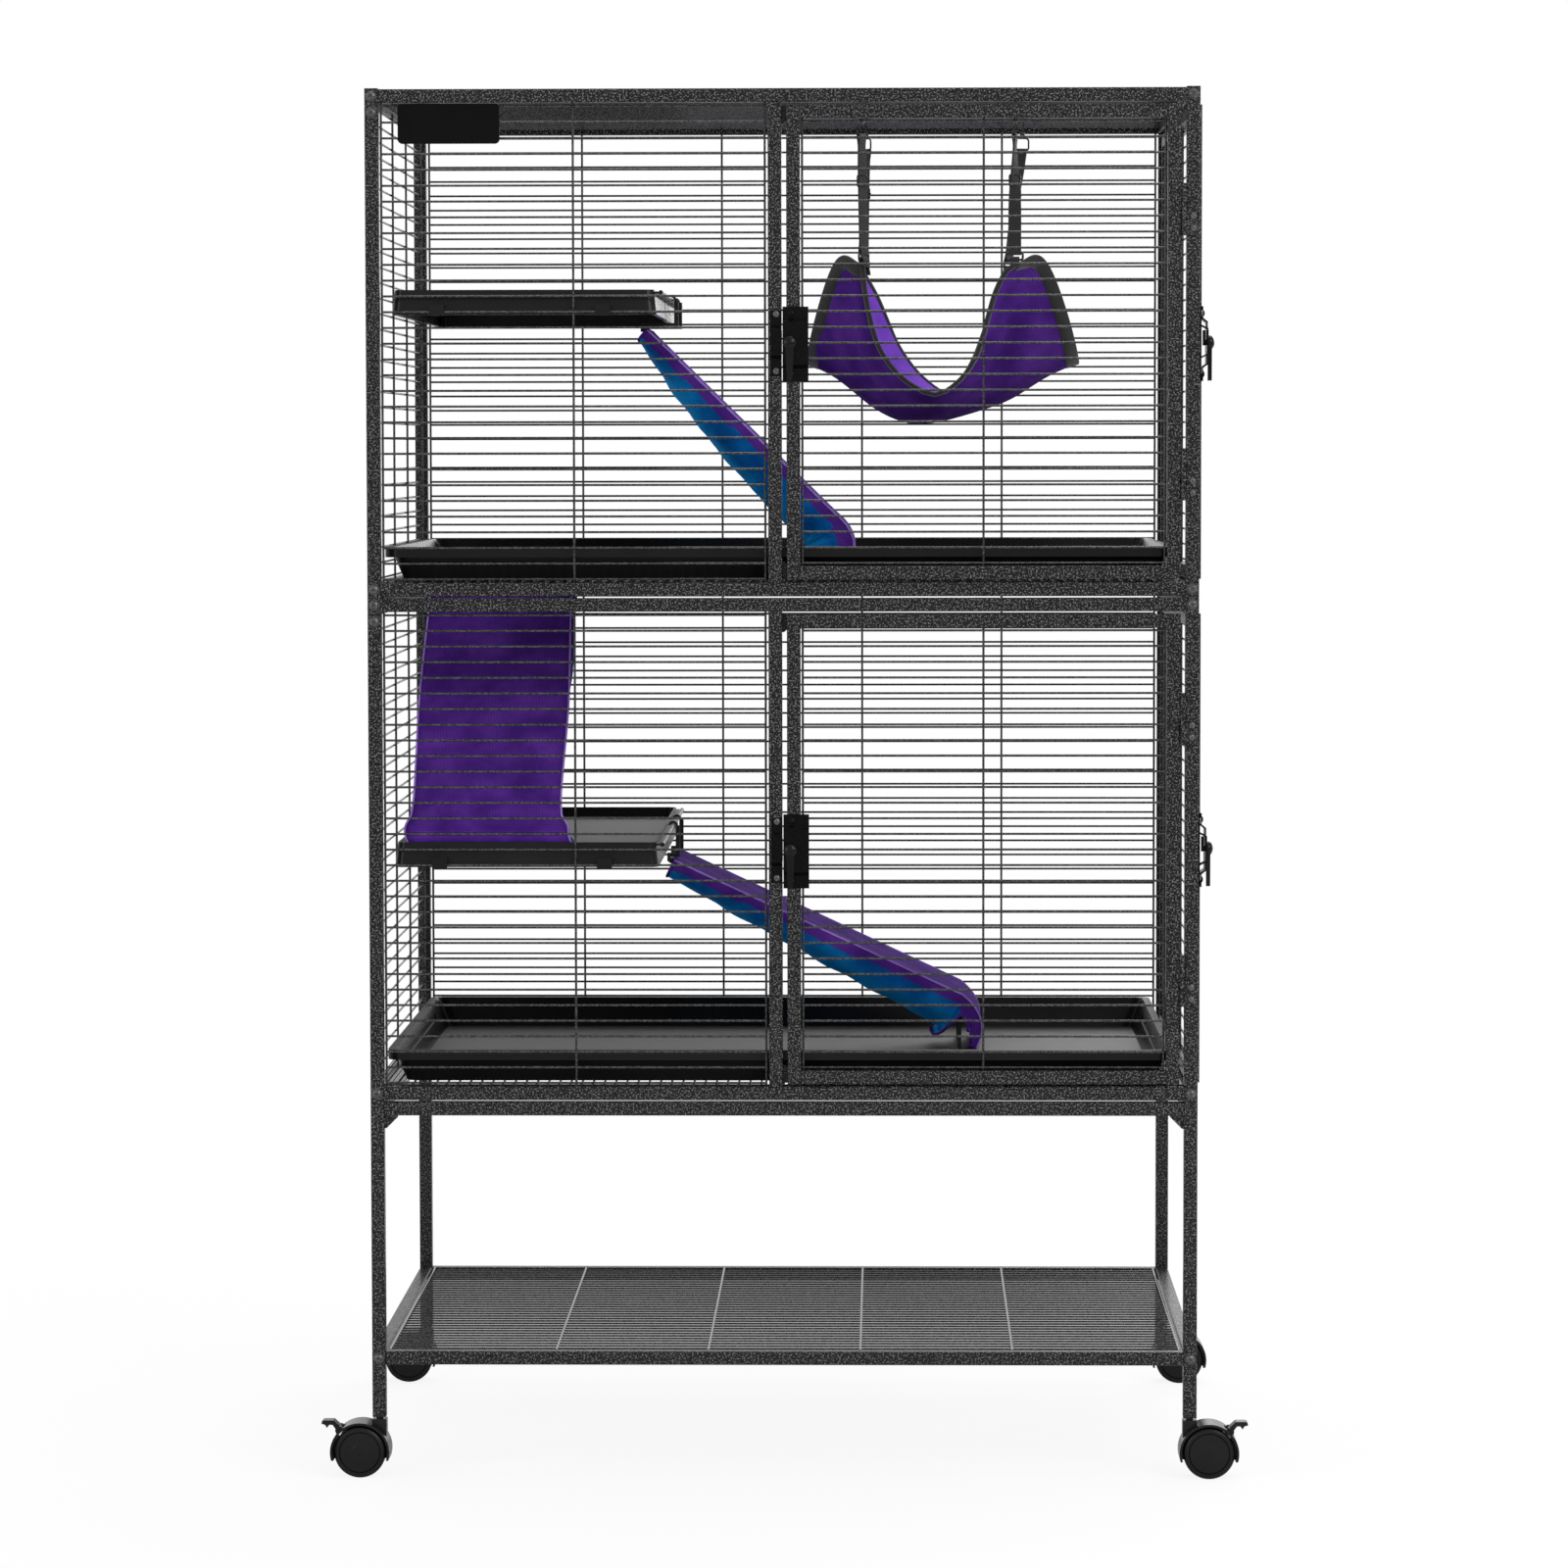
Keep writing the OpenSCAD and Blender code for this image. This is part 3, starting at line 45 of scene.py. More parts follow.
# camera, found from the posts, the shelf bars and the wheels in the picture
cameraSettings = {
    "place": (0.1138, -6.2336, 1.1377),
    "turnLeft": 0.01903,
    "tiltDown": 0.06197,
    "roll": -0.00167,
    "focalMm": 123.71,
    "sensorMm": 36.0,
}


def addCamera(s):
    data = bpy.data.cameras.new("camera")
    data.sensor_width = s["sensorMm"]
    data.lens = s["focalMm"]
    cam = bpy.data.objects.new("camera", data)
    bpy.context.scene.collection.objects.link(cam)
    turn = (Matrix.Rotation(s["turnLeft"], 4, "Z")
            @ Matrix.Rotation(math.pi / 2 - s["tiltDown"], 4, "X")
            @ Matrix.Rotation(s["roll"], 4, "Z"))
    cam.matrix_world = Matrix.Translation(s["place"]) @ turn
    bpy.context.scene.camera = cam


addCamera(cameraSettings)


# ---- small helpers for nodes

def addNode(tree, kind, inputs=None, **props):
    node = tree.nodes.new(kind)
    for key, value in props.items():
        setattr(node, key, value)
    for key, value in (inputs or {}).items():
        if isinstance(value, bpy.types.NodeSocket):
            tree.links.new(value, node.inputs[key])
        else:
            node.inputs[key].default_value = value
    return node


def worked(tree, operation, *values):
    # the result of one Math node
    return addNode(tree, "ShaderNodeMath", dict(enumerate(values)), operation=operation).outputs[0]


def mapped(tree, value, source, target):
    node = addNode(tree, "ShaderNodeMapRange", {
        "Value": value, "From Min": source[0], "From Max": source[1],
        "To Min": target[0], "To Max": target[1]})
    return node.outputs["Result"]


def noiseAt(tree, at, scale, detail):
    node = addNode(tree, "ShaderNodeTexNoise", {"Vector": at, "Scale": scale, "Detail": detail})
    return node.outputs["Fac"]


def ramp(tree, factor, stops):
    node = addNode(tree, "ShaderNodeValToRGB", {"Fac": factor})
    line = node.color_ramp
    while len(line.elements) < len(stops):
        line.elements.new(0.5)
    for element, (place, colour) in zip(line.elements, stops):
        element.position = place
        element.color = (*colour, 1)
    return node.outputs["Color"]


def objectCoords(tree):
    return addNode(tree, "ShaderNodeTexCoord").outputs["Object"]


def grey(v):
    return (v, v, v)


def greys(places, shades):
    return [(place, grey(shade)) for place, shade in zip(places, shades)]


def newFinish(name, roughness, specular=0.5, sheen=0.0, coat=0.0):
    mat = bpy.data.materials.new(name)
    mat.use_nodes = True
    tree = mat.node_tree
    shader = tree.nodes["Principled BSDF"]
    shader.inputs["Roughness"].default_value = roughness
    shader.inputs["Specular IOR Level"].default_value = specular
    shader.inputs["Sheen Weight"].default_value = sheen
    shader.inputs["Coat Weight"].default_value = coat
    return mat, tree, shader


def setColour(tree, shader, colour):
    tree.links.new(colour, shader.inputs["Base Color"])


def addBump(tree, shader, height, distance, strength):
    bump = addNode(tree, "ShaderNodeBump",
                   {"Height": height, "Distance": distance, "Strength": strength})
    tree.links.new(bump.outputs["Normal"], shader.inputs["Normal"])


# ---- finishes

# tube paint: pale flecks on a dark ground under a clear coat
hammertoneSettings = {
    "roughness": 0.42,
    "specular": 0.03,
    "coat": 0.42,
    "coatRoughness": 0.26,
    "scale": 540.0,
    "places": (0.46, 0.54, 0.63),
    "shades": (0.0003, 0.003, 0.12),
    "fleckRange": (0.35, 0.65),
    "groundToFleck": (0.52, 0.34),  # roughness
    "dent": 0.0004,
    "dentStrength": 0.8,
}


def hammertonePaint(s):
    mat, tree, shader = newFinish("hammertonePaint", s["roughness"], s["specular"], coat=s["coat"])
    shader.inputs["Coat Roughness"].default_value = s["coatRoughness"]
    at = objectCoords(tree)
    cells = addNode(tree, "ShaderNodeTexVoronoi", {"Vector": at, "Scale": s["scale"]},
                    feature="SMOOTH_F1")
    fleck = noiseAt(tree, at, s["scale"], 1.0)
    setColour(tree, shader, ramp(tree, fleck, greys(s["places"], s["shades"])))
    gloss = mapped(tree, fleck, s["fleckRange"], s["groundToFleck"])
    tree.links.new(gloss, shader.inputs["Roughness"])
    addBump(tree, shader, cells.outputs["Distance"], s["dent"], s["dentStrength"])
    return mat


grainStrength = 0.5
wireSettings = {"places": (0.42, 0.62), "grainDepth": 0.00006}


def plainPaint(name, dark, light, roughness, grain, specular):
    s = wireSettings
    mat, tree, shader = newFinish(name, roughness, specular)
    fine = noiseAt(tree, objectCoords(tree), grain, 1.0)
    setColour(tree, shader, ramp(tree, fine, greys(s["places"], (dark, light))))
    addBump(tree, shader, fine, s["grainDepth"], grainStrength)
    return mat


plasticSettings = {
    "cloudScale": 14.0,
    "cloudDetail": 3.0,
    "cloudRange": (0.3, 0.7),
    "shadeShares": (0.8, 1.25),
    "roughShares": (0.85, 1.2),
}


def mouldedPlastic(name, shade, roughness, grain, depth, specular):
    # slow changes of shade and gloss over a fine grain
    s = plasticSettings
    mat, tree, shader = newFinish(name, roughness, specular)
    at = objectCoords(tree)
    cloud = noiseAt(tree, at, s["cloudScale"], s["cloudDetail"])
    shades = [shade * share for share in s["shadeShares"]]
    setColour(tree, shader, ramp(tree, cloud, greys(s["cloudRange"], shades)))
    gloss = mapped(tree, cloud, s["cloudRange"], [roughness * share for share in s["roughShares"]])
    tree.links.new(gloss, shader.inputs["Roughness"])
    addBump(tree, shader, noiseAt(tree, at, grain, 2.0), depth, grainStrength)
    return mat


traySettings = {
    "places": (0.3, 0.7),
    "shades": (0.006, 0.010),
    "shadeScale": 9.0,
    "grain": 800.0,
    "grainDepth": 0.00006,
    "levelFrom": (0.90, 0.99),  # the upward part of the normal, from wall to floor
    "wallToFloor": {"Roughness": (0.22, 0.5), "Specular IOR Level": (0.12, 0.40)},
}


def trayPlastic(s):
    # glossy on the walls and rims, grained on the level floor
    mat, tree, shader = newFinish("trayPlastic", 0.2, 0.4)
    at = objectCoords(tree)
    cloud = noiseAt(tree, at, s["shadeScale"], 2.0)
    setColour(tree, shader, ramp(tree, cloud, greys(s["places"], s["shades"])))
    normal = addNode(tree, "ShaderNodeNewGeometry").outputs["Normal"]
    facing = addNode(tree, "ShaderNodeSeparateXYZ", {"Vector": normal}).outputs["Z"]
    for socket, change in s["wallToFloor"].items():
        tree.links.new(mapped(tree, facing, s["levelFrom"], change), shader.inputs[socket])
    addBump(tree, shader, noiseAt(tree, at, s["grain"], 2.0), s["grainDepth"], grainStrength)
    return mat


weaveSettings = {
    "roughness": 0.85,
    "specular": 0.04,
    "sheenRoughness": 0.45,
    "threads": 190.0,
    "uneven": 0.6,
    "cloudScale": 22.0,
    "cloudDetail": 5.0,
    "shift": 0.12,
    "places": (0.25, 0.52, 0.8),
    "threadHeight": 0.00025,
    "threadStrength": 0.7,
    # painted light on a sleeve's belly: the tone is raised near one line and lowered further off
    "paintedLightWithin": (0.055, 0.10),  # metres across the cloth from the palest line
    "paintedLightGain": (0.32, -0.10),
}


def wovenCloth(name, deep, body, pale, sheen, paintedLightAcross=None):
    # threads both ways with cloudy changes of tone
    s = weaveSettings
    mat, tree, shader = newFinish(name, s["roughness"], s["specular"], sheen)
    shader.inputs["Sheen Roughness"].default_value = s["sheenRoughness"]
    shader.inputs["Sheen Tint"].default_value = (*pale, 1)
    at = addNode(tree, "ShaderNodeUVMap").outputs["UV"]
    warp, weft = (addNode(tree, "ShaderNodeTexWave",
                          {"Vector": at, "Scale": s["threads"], "Distortion": s["uneven"],
                           "Detail": 1.0}, bands_direction=way).outputs["Fac"] for way in "XY")
    weave = worked(tree, "MAXIMUM", warp, weft)
    cloud = noiseAt(tree, objectCoords(tree), s["cloudScale"], s["cloudDetail"])
    tone = worked(tree, "MULTIPLY_ADD", cloud, weave, s["shift"])
    if paintedLightAcross:
        # painted highlight: the hanging side of a sleeve is painted paler along the line where it
        # turns under, and painted darker beyond it as painted shade
        across = addNode(tree, "ShaderNodeSeparateXYZ", {"Vector": at}).outputs["X"]
        away = worked(tree, "ABSOLUTE", worked(tree, "SUBTRACT", across, paintedLightAcross))
        tone = worked(tree, "ADD", tone, mapped(tree, away, s["paintedLightWithin"], s["paintedLightGain"]))
    setColour(tree, shader, ramp(tree, tone, list(zip(s["places"], (deep, body, pale)))))
    addBump(tree, shader, weave, s["threadHeight"], s["threadStrength"])
    return mat


ribSettings = {
    "roughness": 0.8,
    "specular": 0.25,
    "sheen": 0.3,
    "ribs": 160.0,
    "uneven": 0.3,
    "places": (0.2, 0.9),
    "shadeShares": (0.5, 1.6),
    "ribHeight": 0.0003,
    "ribStrength": 0.8,
}


def ribbedTape(name, shade):
    s = ribSettings
    mat, tree, shader = newFinish(name, s["roughness"], s["specular"], s["sheen"])
    at = addNode(tree, "ShaderNodeUVMap").outputs["UV"]
    ribs = addNode(tree, "ShaderNodeTexWave",
                   {"Vector": at, "Scale": s["ribs"], "Distortion": s["uneven"]},
                   bands_direction="Y").outputs["Fac"]
    shades = [shade * share for share in s["shadeShares"]]
    setColour(tree, shader, ramp(tree, ribs, greys(s["places"], shades)))
    addBump(tree, shader, ribs, s["ribHeight"], s["ribStrength"])
    return mat


finishes = {
    "frame": hammertonePaint(hammertoneSettings),
    "wire": plainPaint("wirePaint", dark=0.004, light=0.045, roughness=0.18, grain=420.0,
                       specular=0.5),
    "steel": plainPaint("blackSteel", dark=0.001, light=0.003, roughness=0.24, grain=500.0,
                        specular=0.08),
    # the screws: dark steel painted a lighter grey to stand in for the glints on their heads, a
    # painted highlight, with a higher specular level
    "bolt": plainPaint("boltPaintedGlint", dark=0.03, light=0.08, roughness=0.22, grain=500.0,
                       specular=0.5),
    "tray": trayPlastic(traySettings),
    "plate": mouldedPlastic("platePlastic", shade=0.003, roughness=0.34, grain=900.0,
                            depth=0.00006, specular=0.05),
    "handle": mouldedPlastic("handlePlastic", shade=0.004, roughness=0.22, grain=700.0,
                             depth=0.00005, specular=0.16),
    "caster": mouldedPlastic("casterPlastic", shade=0.006, roughness=0.24, grain=700.0,
                             depth=0.00006, specular=0.2),
    "wheel": mouldedPlastic("wheelPlastic", shade=0.007, roughness=0.34, grain=600.0,
                            depth=0.00008, specular=0.16),
    "board": mouldedPlastic("boardPlastic", shade=0.010, roughness=0.5, grain=500.0,
                            depth=0.0001, specular=0.2),
    "hook": mouldedPlastic("hookMetal", shade=0.008, roughness=0.2, grain=500.0,
                           depth=0.00004, specular=0.35),
    "purple": wovenCloth("purpleCloth", deep=(0.030, 0.006, 0.10), body=(0.070, 0.018, 0.22),
                         pale=(0.150, 0.045, 0.38), sheen=0.05),
    # the blue belly carries a painted highlight along the line 0.28 m round the sleeve, with
    # painted shade beyond it
    "blue": wovenCloth("blueCloth", deep=(0.001, 0.030, 0.16), body=(0.002, 0.115, 0.40),
                       pale=(0.008, 0.32, 0.78), sheen=0.05, paintedLightAcross=0.28),
    # the hammock's inner face: the purple cloth painted lighter, a painted lit side where light
    # falls from above
    "paintedLitSide": wovenCloth("paintedLitPurple", deep=(0.12, 0.03, 0.38), body=(0.2, 0.07, 0.52),
                         pale=(0.32, 0.14, 0.7), sheen=0.1),
    # the raised seams: a real ridge, painted pale purple as the highlight along each top edge of
    # the sleeves
    "seam": wovenCloth("seamPaintedHighlight", deep=(0.19, 0.09, 0.42), body=(0.32, 0.18, 0.6),
                       pale=(0.5, 0.35, 0.8), sheen=0.3),
    "binding": ribbedTape("blackBinding", shade=0.012),
    "webbing": ribbedTape("blackWebbing", shade=0.016),
}

slotFinish = {
    "frame_paint": "frame",
    "wire_paint": "wire",
    "black_steel": "steel",
    "black_gloss": "tray",
    "handle_plastic": "handle",
    "caster_plastic": "caster",
    "wheel_plastic": "wheel",
    "ramp_plastic": "board",
    "purple_cloth": "purple",
    "black_webbing": "webbing",
}
slotOf = {part["node"]: part["material_slot"] for part in frame["record"]["subparts"]}


def paint(obj, finish):
    obj.data.materials.clear()
    obj.data.materials.append(finishes[finish])


for name, obj in nodes.items():
    paint(obj, slotFinish[slotOf[name]])
    if "hinge" in name:  # painted together with the tubes
        paint(obj, "frame")
paint(nodes["name_plate"], "plate")
# the screws take the lighter grey of a painted highlight
paint(nodes["frame_screws"], "bolt")
print("finishes ready:", len(finishes))

# ---- studio

studioSettings = {
    "background": (1.0, 1.0, 1.0),
    "ambient": (0.78, 0.79, 0.8),
    "ambientStrength": 0.75,
    "floorWhite": 0.86,
    "floorSize": 60,
    "floorLift": 0.88,
    "fade": (0.9, 2.6),  # from the cage outwards, where the floor turns into the background
}
lampSettings = {
    "keyLamp": {"place": (2.9, -3.9, 3.4), "aim": (0, 0, 0.9), "size": 2.4, "watts": 130.0},
    "fillLamp": {"place": (-3.4, -3.6, 1.8), "aim": (0, 0, 0.8), "size": 2.4, "watts": 50.0},
    "topLamp": {"place": (0.3, 0.6, 4.0), "aim": (0, 0, 0.8), "size": 2.6, "watts": 70.0},
    "backLamp": {"place": (1.6, 4.0, 2.6), "aim": (0, 0, 0.9), "size": 2.4, "watts": 70.0},
}


def addWorld(s):
    # white to the camera, in reflections and through glass, and softer as a light
    world = bpy.data.worlds.new("studioWorld")
    bpy.context.scene.world = world
    world.use_nodes = True
    tree = world.node_tree
    tree.nodes.clear()
    rays = addNode(tree, "ShaderNodeLightPath").outputs
    seen = worked(tree, "MAXIMUM", rays["Is Camera Ray"], rays["Is Glossy Ray"])
    seen = worked(tree, "MAXIMUM", seen, rays["Is Transmission Ray"])
    shown = addNode(tree, "ShaderNodeBackground", {"Color": (*s["background"], 1), "Strength": 1.0})
    glow = addNode(tree, "ShaderNodeBackground",
                   {"Color": (*s["ambient"], 1), "Strength": s["ambientStrength"]})
    mix = addNode(tree, "ShaderNodeMixShader", {0: seen, 1: glow.outputs[0], 2: shown.outputs[0]})
    addNode(tree, "ShaderNodeOutputWorld", {"Surface": mix.outputs[0]})


def addFloor(s):
    bpy.ops.object.select_all(action="DESELECT")
    bpy.ops.mesh.primitive_plane_add(size=s["floorSize"], location=(0, 0, 0))
    floor = bpy.context.object
    floor.name = "studioFloor"
    mat = bpy.data.materials.new("floorWhite")
    mat.use_nodes = True
    tree = mat.node_tree
    tree.nodes.clear()
    seen = addNode(tree, "ShaderNodeLightPath").outputs["Is Camera Ray"]
    matt = addNode(tree, "ShaderNodeBsdfDiffuse", {"Color": (*grey(s["floorWhite"]), 1)})
    lift = addNode(tree, "ShaderNodeEmission", {"Color": (*s["background"], 1), "Strength": 1.0})
    distance = addNode(tree, "ShaderNodeVectorMath", {0: objectCoords(tree)}, operation="LENGTH")
    fade = mapped(tree, distance.outputs["Value"], s["fade"], (s["floorLift"], 1.0))
    share = worked(tree, "MULTIPLY", seen, fade)
    mix = addNode(tree, "ShaderNodeMixShader", {0: share, 1: matt.outputs[0], 2: lift.outputs[0]})
    addNode(tree, "ShaderNodeOutputMaterial", {"Surface": mix.outputs[0]})
    floor.data.materials.append(mat)


def addLamp(name, place, aim, size, watts):
    data = bpy.data.lights.new(name, "AREA")
    data.size = size
    data.energy = watts
    lamp = bpy.data.objects.new(name, data)
    lamp.location = place
    lamp.rotation_mode = "QUATERNION"
    lamp.rotation_quaternion = (Vector(aim) - Vector(place)).to_track_quat("-Z", "Y")
    bpy.context.scene.collection.objects.link(lamp)


addWorld(studioSettings)
addFloor(studioSettings)
for lampName, lamp in lampSettings.items():
    addLamp(lampName, **lamp)
bpy.context.scene.view_settings.view_transform = "Standard"
print("studio ready")


# ---- helpers for curves and soft pieces

def between(a, b, f):
    return a + (b - a) * f


def curved(a, b, c, f):
    return between(between(a, b, f), between(b, c, f), f)


def stepBetween(low, high, value):
    t = max(0.0, min(1.0, (value - low) / (high - low)))
    return t * t * (3 - 2 * t)


def alongKeys(keys, at):
    for (a, low), (b, high) in zip(keys, keys[1:]):
        if at <= b:
            return between(low, high, stepBetween(a, b, at))
    return keys[-1][1]


def walkedLengths(points):
    # how far each point lies along the line through all of them
    lengths = [0.0]
    for a, b in zip(points, points[1:]):
        lengths.append(lengths[-1] + (b - a).length)
    return lengths


def neighbourRun(points, k):
    # the way the line runs at one of its points
    return points[min(k + 1, len(points) - 1)] - points[max(k - 1, 0)]


def pick(obj):
    bpy.ops.object.select_all(action="DESELECT")
    obj.select_set(True)
    bpy.context.view_layer.objects.active = obj


def applyAll(obj):
    pick(obj)
    for modifier in list(obj.modifiers):
        bpy.ops.object.modifier_apply(modifier=modifier.name)


def thicken(obj, wall, offset=0.0, otherSide=0):
    # otherSide is the step to the finish of the new faces
    solid = obj.modifiers.new("thickness", "SOLIDIFY")
    solid.thickness = wall
    solid.offset = offset
    solid.material_offset = otherSide
    solid.material_offset_rim = otherSide
    applyAll(obj)


def meshObject(name, mesh, finishNames):
    data = bpy.data.meshes.new(name)
    mesh.to_mesh(data)
    mesh.free()
    obj = bpy.data.objects.new(name, data)
    bpy.context.scene.collection.objects.link(obj)
    for finish in finishNames:
        data.materials.append(finishes[finish])
    return obj


def faceOutwards(obj, weld=False):
    mesh = bmesh.new()
    mesh.from_mesh(obj.data)
    if weld:
        bmesh.ops.remove_doubles(mesh, verts=mesh.verts[:], dist=0.00001)
    bmesh.ops.recalc_face_normals(mesh, faces=mesh.faces[:])
    mesh.to_mesh(obj.data)
    mesh.free()


def gridPiece(name, rows, uvs, finishNames, finishOf=None, around=False, capped=False):
    # a sheet of rows, or a tube when its rows go around
    mesh = bmesh.new()
    made = [[mesh.verts.new(p) for p in row] for row in rows]
    layer = mesh.loops.layers.uv.new("UVMap")
    count = len(rows[0])
    for j in range(len(rows) - 1):
        for i in range(count if around else count - 1):
            k = (i + 1) % count
            face = mesh.faces.new((made[j][i], made[j][k], made[j + 1][k], made[j + 1][i]))
            corners = ((j, i), (j, i + 1), (j + 1, i + 1), (j + 1, i))
            for loop, (a, b) in zip(face.loops, corners):
                loop[layer].uv = uvs(a, b)
            face.material_index = finishOf(j, i) if finishOf else 0
            face.smooth = True
    if capped:
        mesh.faces.new(made[0])
        mesh.faces.new(list(reversed(made[-1])))
        bmesh.ops.recalc_face_normals(mesh, faces=mesh.faces[:])
    return meshObject(name, mesh, finishNames)


# ---- cords: hems and seams

cordSettings = {
    "sides": 8,
    "girth": 6,  # how far the cloth goes round, in radii
    "loopStep": 0.003,
    "up": (0.13, 0.21, 0.97),  # only has to differ from the way an open cord runs
}


def roundRing(centre, first, second, radius, sides):
    # points round a centre, in the plane of two directions
    return [centre + first * (radius * math.cos(2 * math.pi * k / sides))
            + second * (radius * math.sin(2 * math.pi * k / sides)) for k in range(sides)]


def cordRun(s, name, points, radius, finish):
    sides, rows, length = s["sides"], [], walkedLengths(points)
    for k, point in enumerate(points):
        run = neighbourRun(points, k)
        side = run.cross(Vector(s["up"])).normalized()
        rows.append(roundRing(point, side, side.cross(run).normalized(), radius, sides))
    return gridPiece(name, rows, lambda j, i: (i * radius * s["girth"] / sides, length[j]),
                     finishNames=(finish,), around=True, capped=True)


def cordLoop(s, name, points, radius, finish):
    # a closed cord: the frame of each ring is carried along so that it never flips
    sides, count = s["sides"], len(points)
    runs = [(points[(k + 1) % count] - points[k - 1]).normalized() for k in range(count)]
    up = runs[0].orthogonal()
    mesh = bmesh.new()
    layer = mesh.loops.layers.uv.new("UVMap")
    rings = []
    for point, run in zip(points, runs):
        up = (up - run * up.dot(run)).normalized()
        ring = roundRing(point, up, run.cross(up), radius, sides)
        rings.append([mesh.verts.new(p) for p in ring])
    last, first = rings[-1], rings[0]
    shift = min(range(sides), key=lambda q: (last[0].co - first[q].co).length)
    for k in range(count):
        a = rings[k]
        b = rings[k + 1] if k + 1 < count else [first[(m + shift) % sides] for m in range(sides)]
        for m in range(sides):
            n = (m + 1) % sides
            face = mesh.faces.new((a[m], a[n], b[n], b[m]))
            face.smooth = True
            corners = ((m, k), (m + 1, k), (m + 1, k + 1), (m, k + 1))
            for loop, (p, q) in zip(face.loops, corners):
                loop[layer].uv = (p * radius * s["girth"] / sides, q * s["loopStep"])
    bmesh.ops.recalc_face_normals(mesh, faces=mesh.faces[:])
    return meshObject(name, mesh, (finish,))


# ---- hammock: a hanging square of cloth with taped edges

hammockSettings = {
    # each edge from the left ring to the right one: across and height
    "front": [(0.0886, 1.345), (0.0905, 1.322), (0.0945, 1.296), (0.100, 1.272), (0.108, 1.250),
              (0.125, 1.226), (0.146, 1.209), (0.170, 1.200), (0.194, 1.214), (0.212, 1.238),
              (0.221, 1.262), (0.228, 1.290), (0.236, 1.316), (0.247, 1.337), (0.2582, 1.345)],
    "middle": [(0.022, 1.241), (0.051, 1.225), (0.095, 1.190), (0.127, 1.174), (0.155, 1.169),
               (0.197, 1.175), (0.250, 1.193), (0.296, 1.222), (0.335, 1.241)],
    "back": [(0.0886, 1.345), (0.096, 1.333), (0.106, 1.314), (0.116, 1.290), (0.128, 1.262),
             (0.146, 1.235), (0.163, 1.218), (0.181, 1.206), (0.198, 1.214), (0.216, 1.244),
             (0.226, 1.270), (0.236, 1.300), (0.246, 1.325), (0.2582, 1.345)],
    "curveParts": 12,
    "curveSteps": 400,
    "halfDepth": 0.15525,
    "sidePower": 5,
    "cornerLift": 0.016,
    "sideDrop": 0.107,
    "dropPower": 2.4,
    "sideStraight": 0.103,
    "bulge": 0.070,
    "bulgePower": 0.8,
    "thickness": 0.0024,
    "cells": 64,
    "closeness": 0.8,
    "cut": (0.37, 0.36),
    # from each ring towards the pouch, in the cloth's own grid of -1 to 1
    "creases": [((1, -1), (0.16, -0.34)), ((-1, -1), (-0.30, -0.42)), ((1, 1), (0.24, 0.30)),
                ((-1, 1), (-0.22, 0.36)), ((0.62, -1.0), (0.34, -0.30)),
                ((-0.55, 0.98), (-0.36, 0.25))],
    "creaseHeight": 0.0045,
    "creaseWidth": 0.085,
    "creaseRun": (1.15, 0.04),
    "creasePower": 0.7,
    "softHeight": 0.0011,
    "edgeFade": (6, 8),
    "normalStep": 0.006,
}
tapeSettings = {
    # the edge that each tape holds in the cloth's grid, and the width of the tape
    "tapes": {"LeftTape": ("u", -1, 0.015), "RightTape": ("u", 1, 0.015),
              "FrontTape": ("v", -1, 0.0045), "BackTape": ("v", 1, 0.0045)},
    "steps": 72,
    "closeness": 0.75,
    "layer": 0.0008,
    "over": 0.0012,
    "normalShare": 0.985,
    "inwardShare": 0.96,
    # once round: shares of the width, or of the overhang below zero, and of the half height
    "outline": [(1, 0.6), (0.97, 1), (0.5, 1), (0, 1), (-0.7, 0.7), (-1, 0), (-0.7, -0.7),
                (0, -1), (0.5, -1), (0.97, -1), (1, -0.6)],
    "clothStep": 0.003,
}


def smoothCurve(points, parts, count):
    # an even walk along a curve through the points
    fine = []
    for k in range(len(points) - 1):
        p = [Vector(points[max(0, min(len(points) - 1, k + d))]) for d in (-1, 0, 1, 2)]
        for m in range(parts):
            t = m / parts
            fine.append(0.5 * (2 * p[1] + (p[2] - p[0]) * t
                               + (2 * p[0] - 5 * p[1] + 4 * p[2] - p[3]) * t ** 2
                               + (3 * p[1] - p[0] - 3 * p[2] + p[3]) * t ** 3))
    fine.append(Vector(points[-1]))
    walked = walkedLengths(fine)
    even, k = [], 0
    for m in range(count + 1):
        goal = walked[-1] * m / count
        while k < len(walked) - 2 and walked[k + 1] < goal:
            k += 1
        step = (goal - walked[k]) / max(1e-9, walked[k + 1] - walked[k])
        even.append(fine[k].lerp(fine[k + 1], min(1.0, step)))
    return even


hammockCurves = {
    key: smoothCurve(hammockSettings[key], hammockSettings["curveParts"],
                     hammockSettings["curveSteps"]) for key in ("front", "middle", "back")
}


def curveAt(key, u):
    curve = hammockCurves[key]
    count = len(curve) - 1
    place = max(0.0, min(1.0, (u + 1) / 2)) * count
    k = min(count - 1, int(place))
    return curve[k].lerp(curve[k + 1], place - k)


def creaseAt(s, u, v):
    rise = 0.0
    for start, end in s["creases"]:
        a, d = Vector(start), Vector(end) - Vector(start)
        t = max(0.0, min(1.0, (Vector((u, v)) - a).dot(d) / d.length_squared))
        away = (Vector((u, v)) - a - d * t).length / s["creaseWidth"]
        swell = math.sin(math.pi * min(1, t * s["creaseRun"][0] + s["creaseRun"][1]))
        rise += math.exp(-away * away) * swell ** s["creasePower"]
    return rise


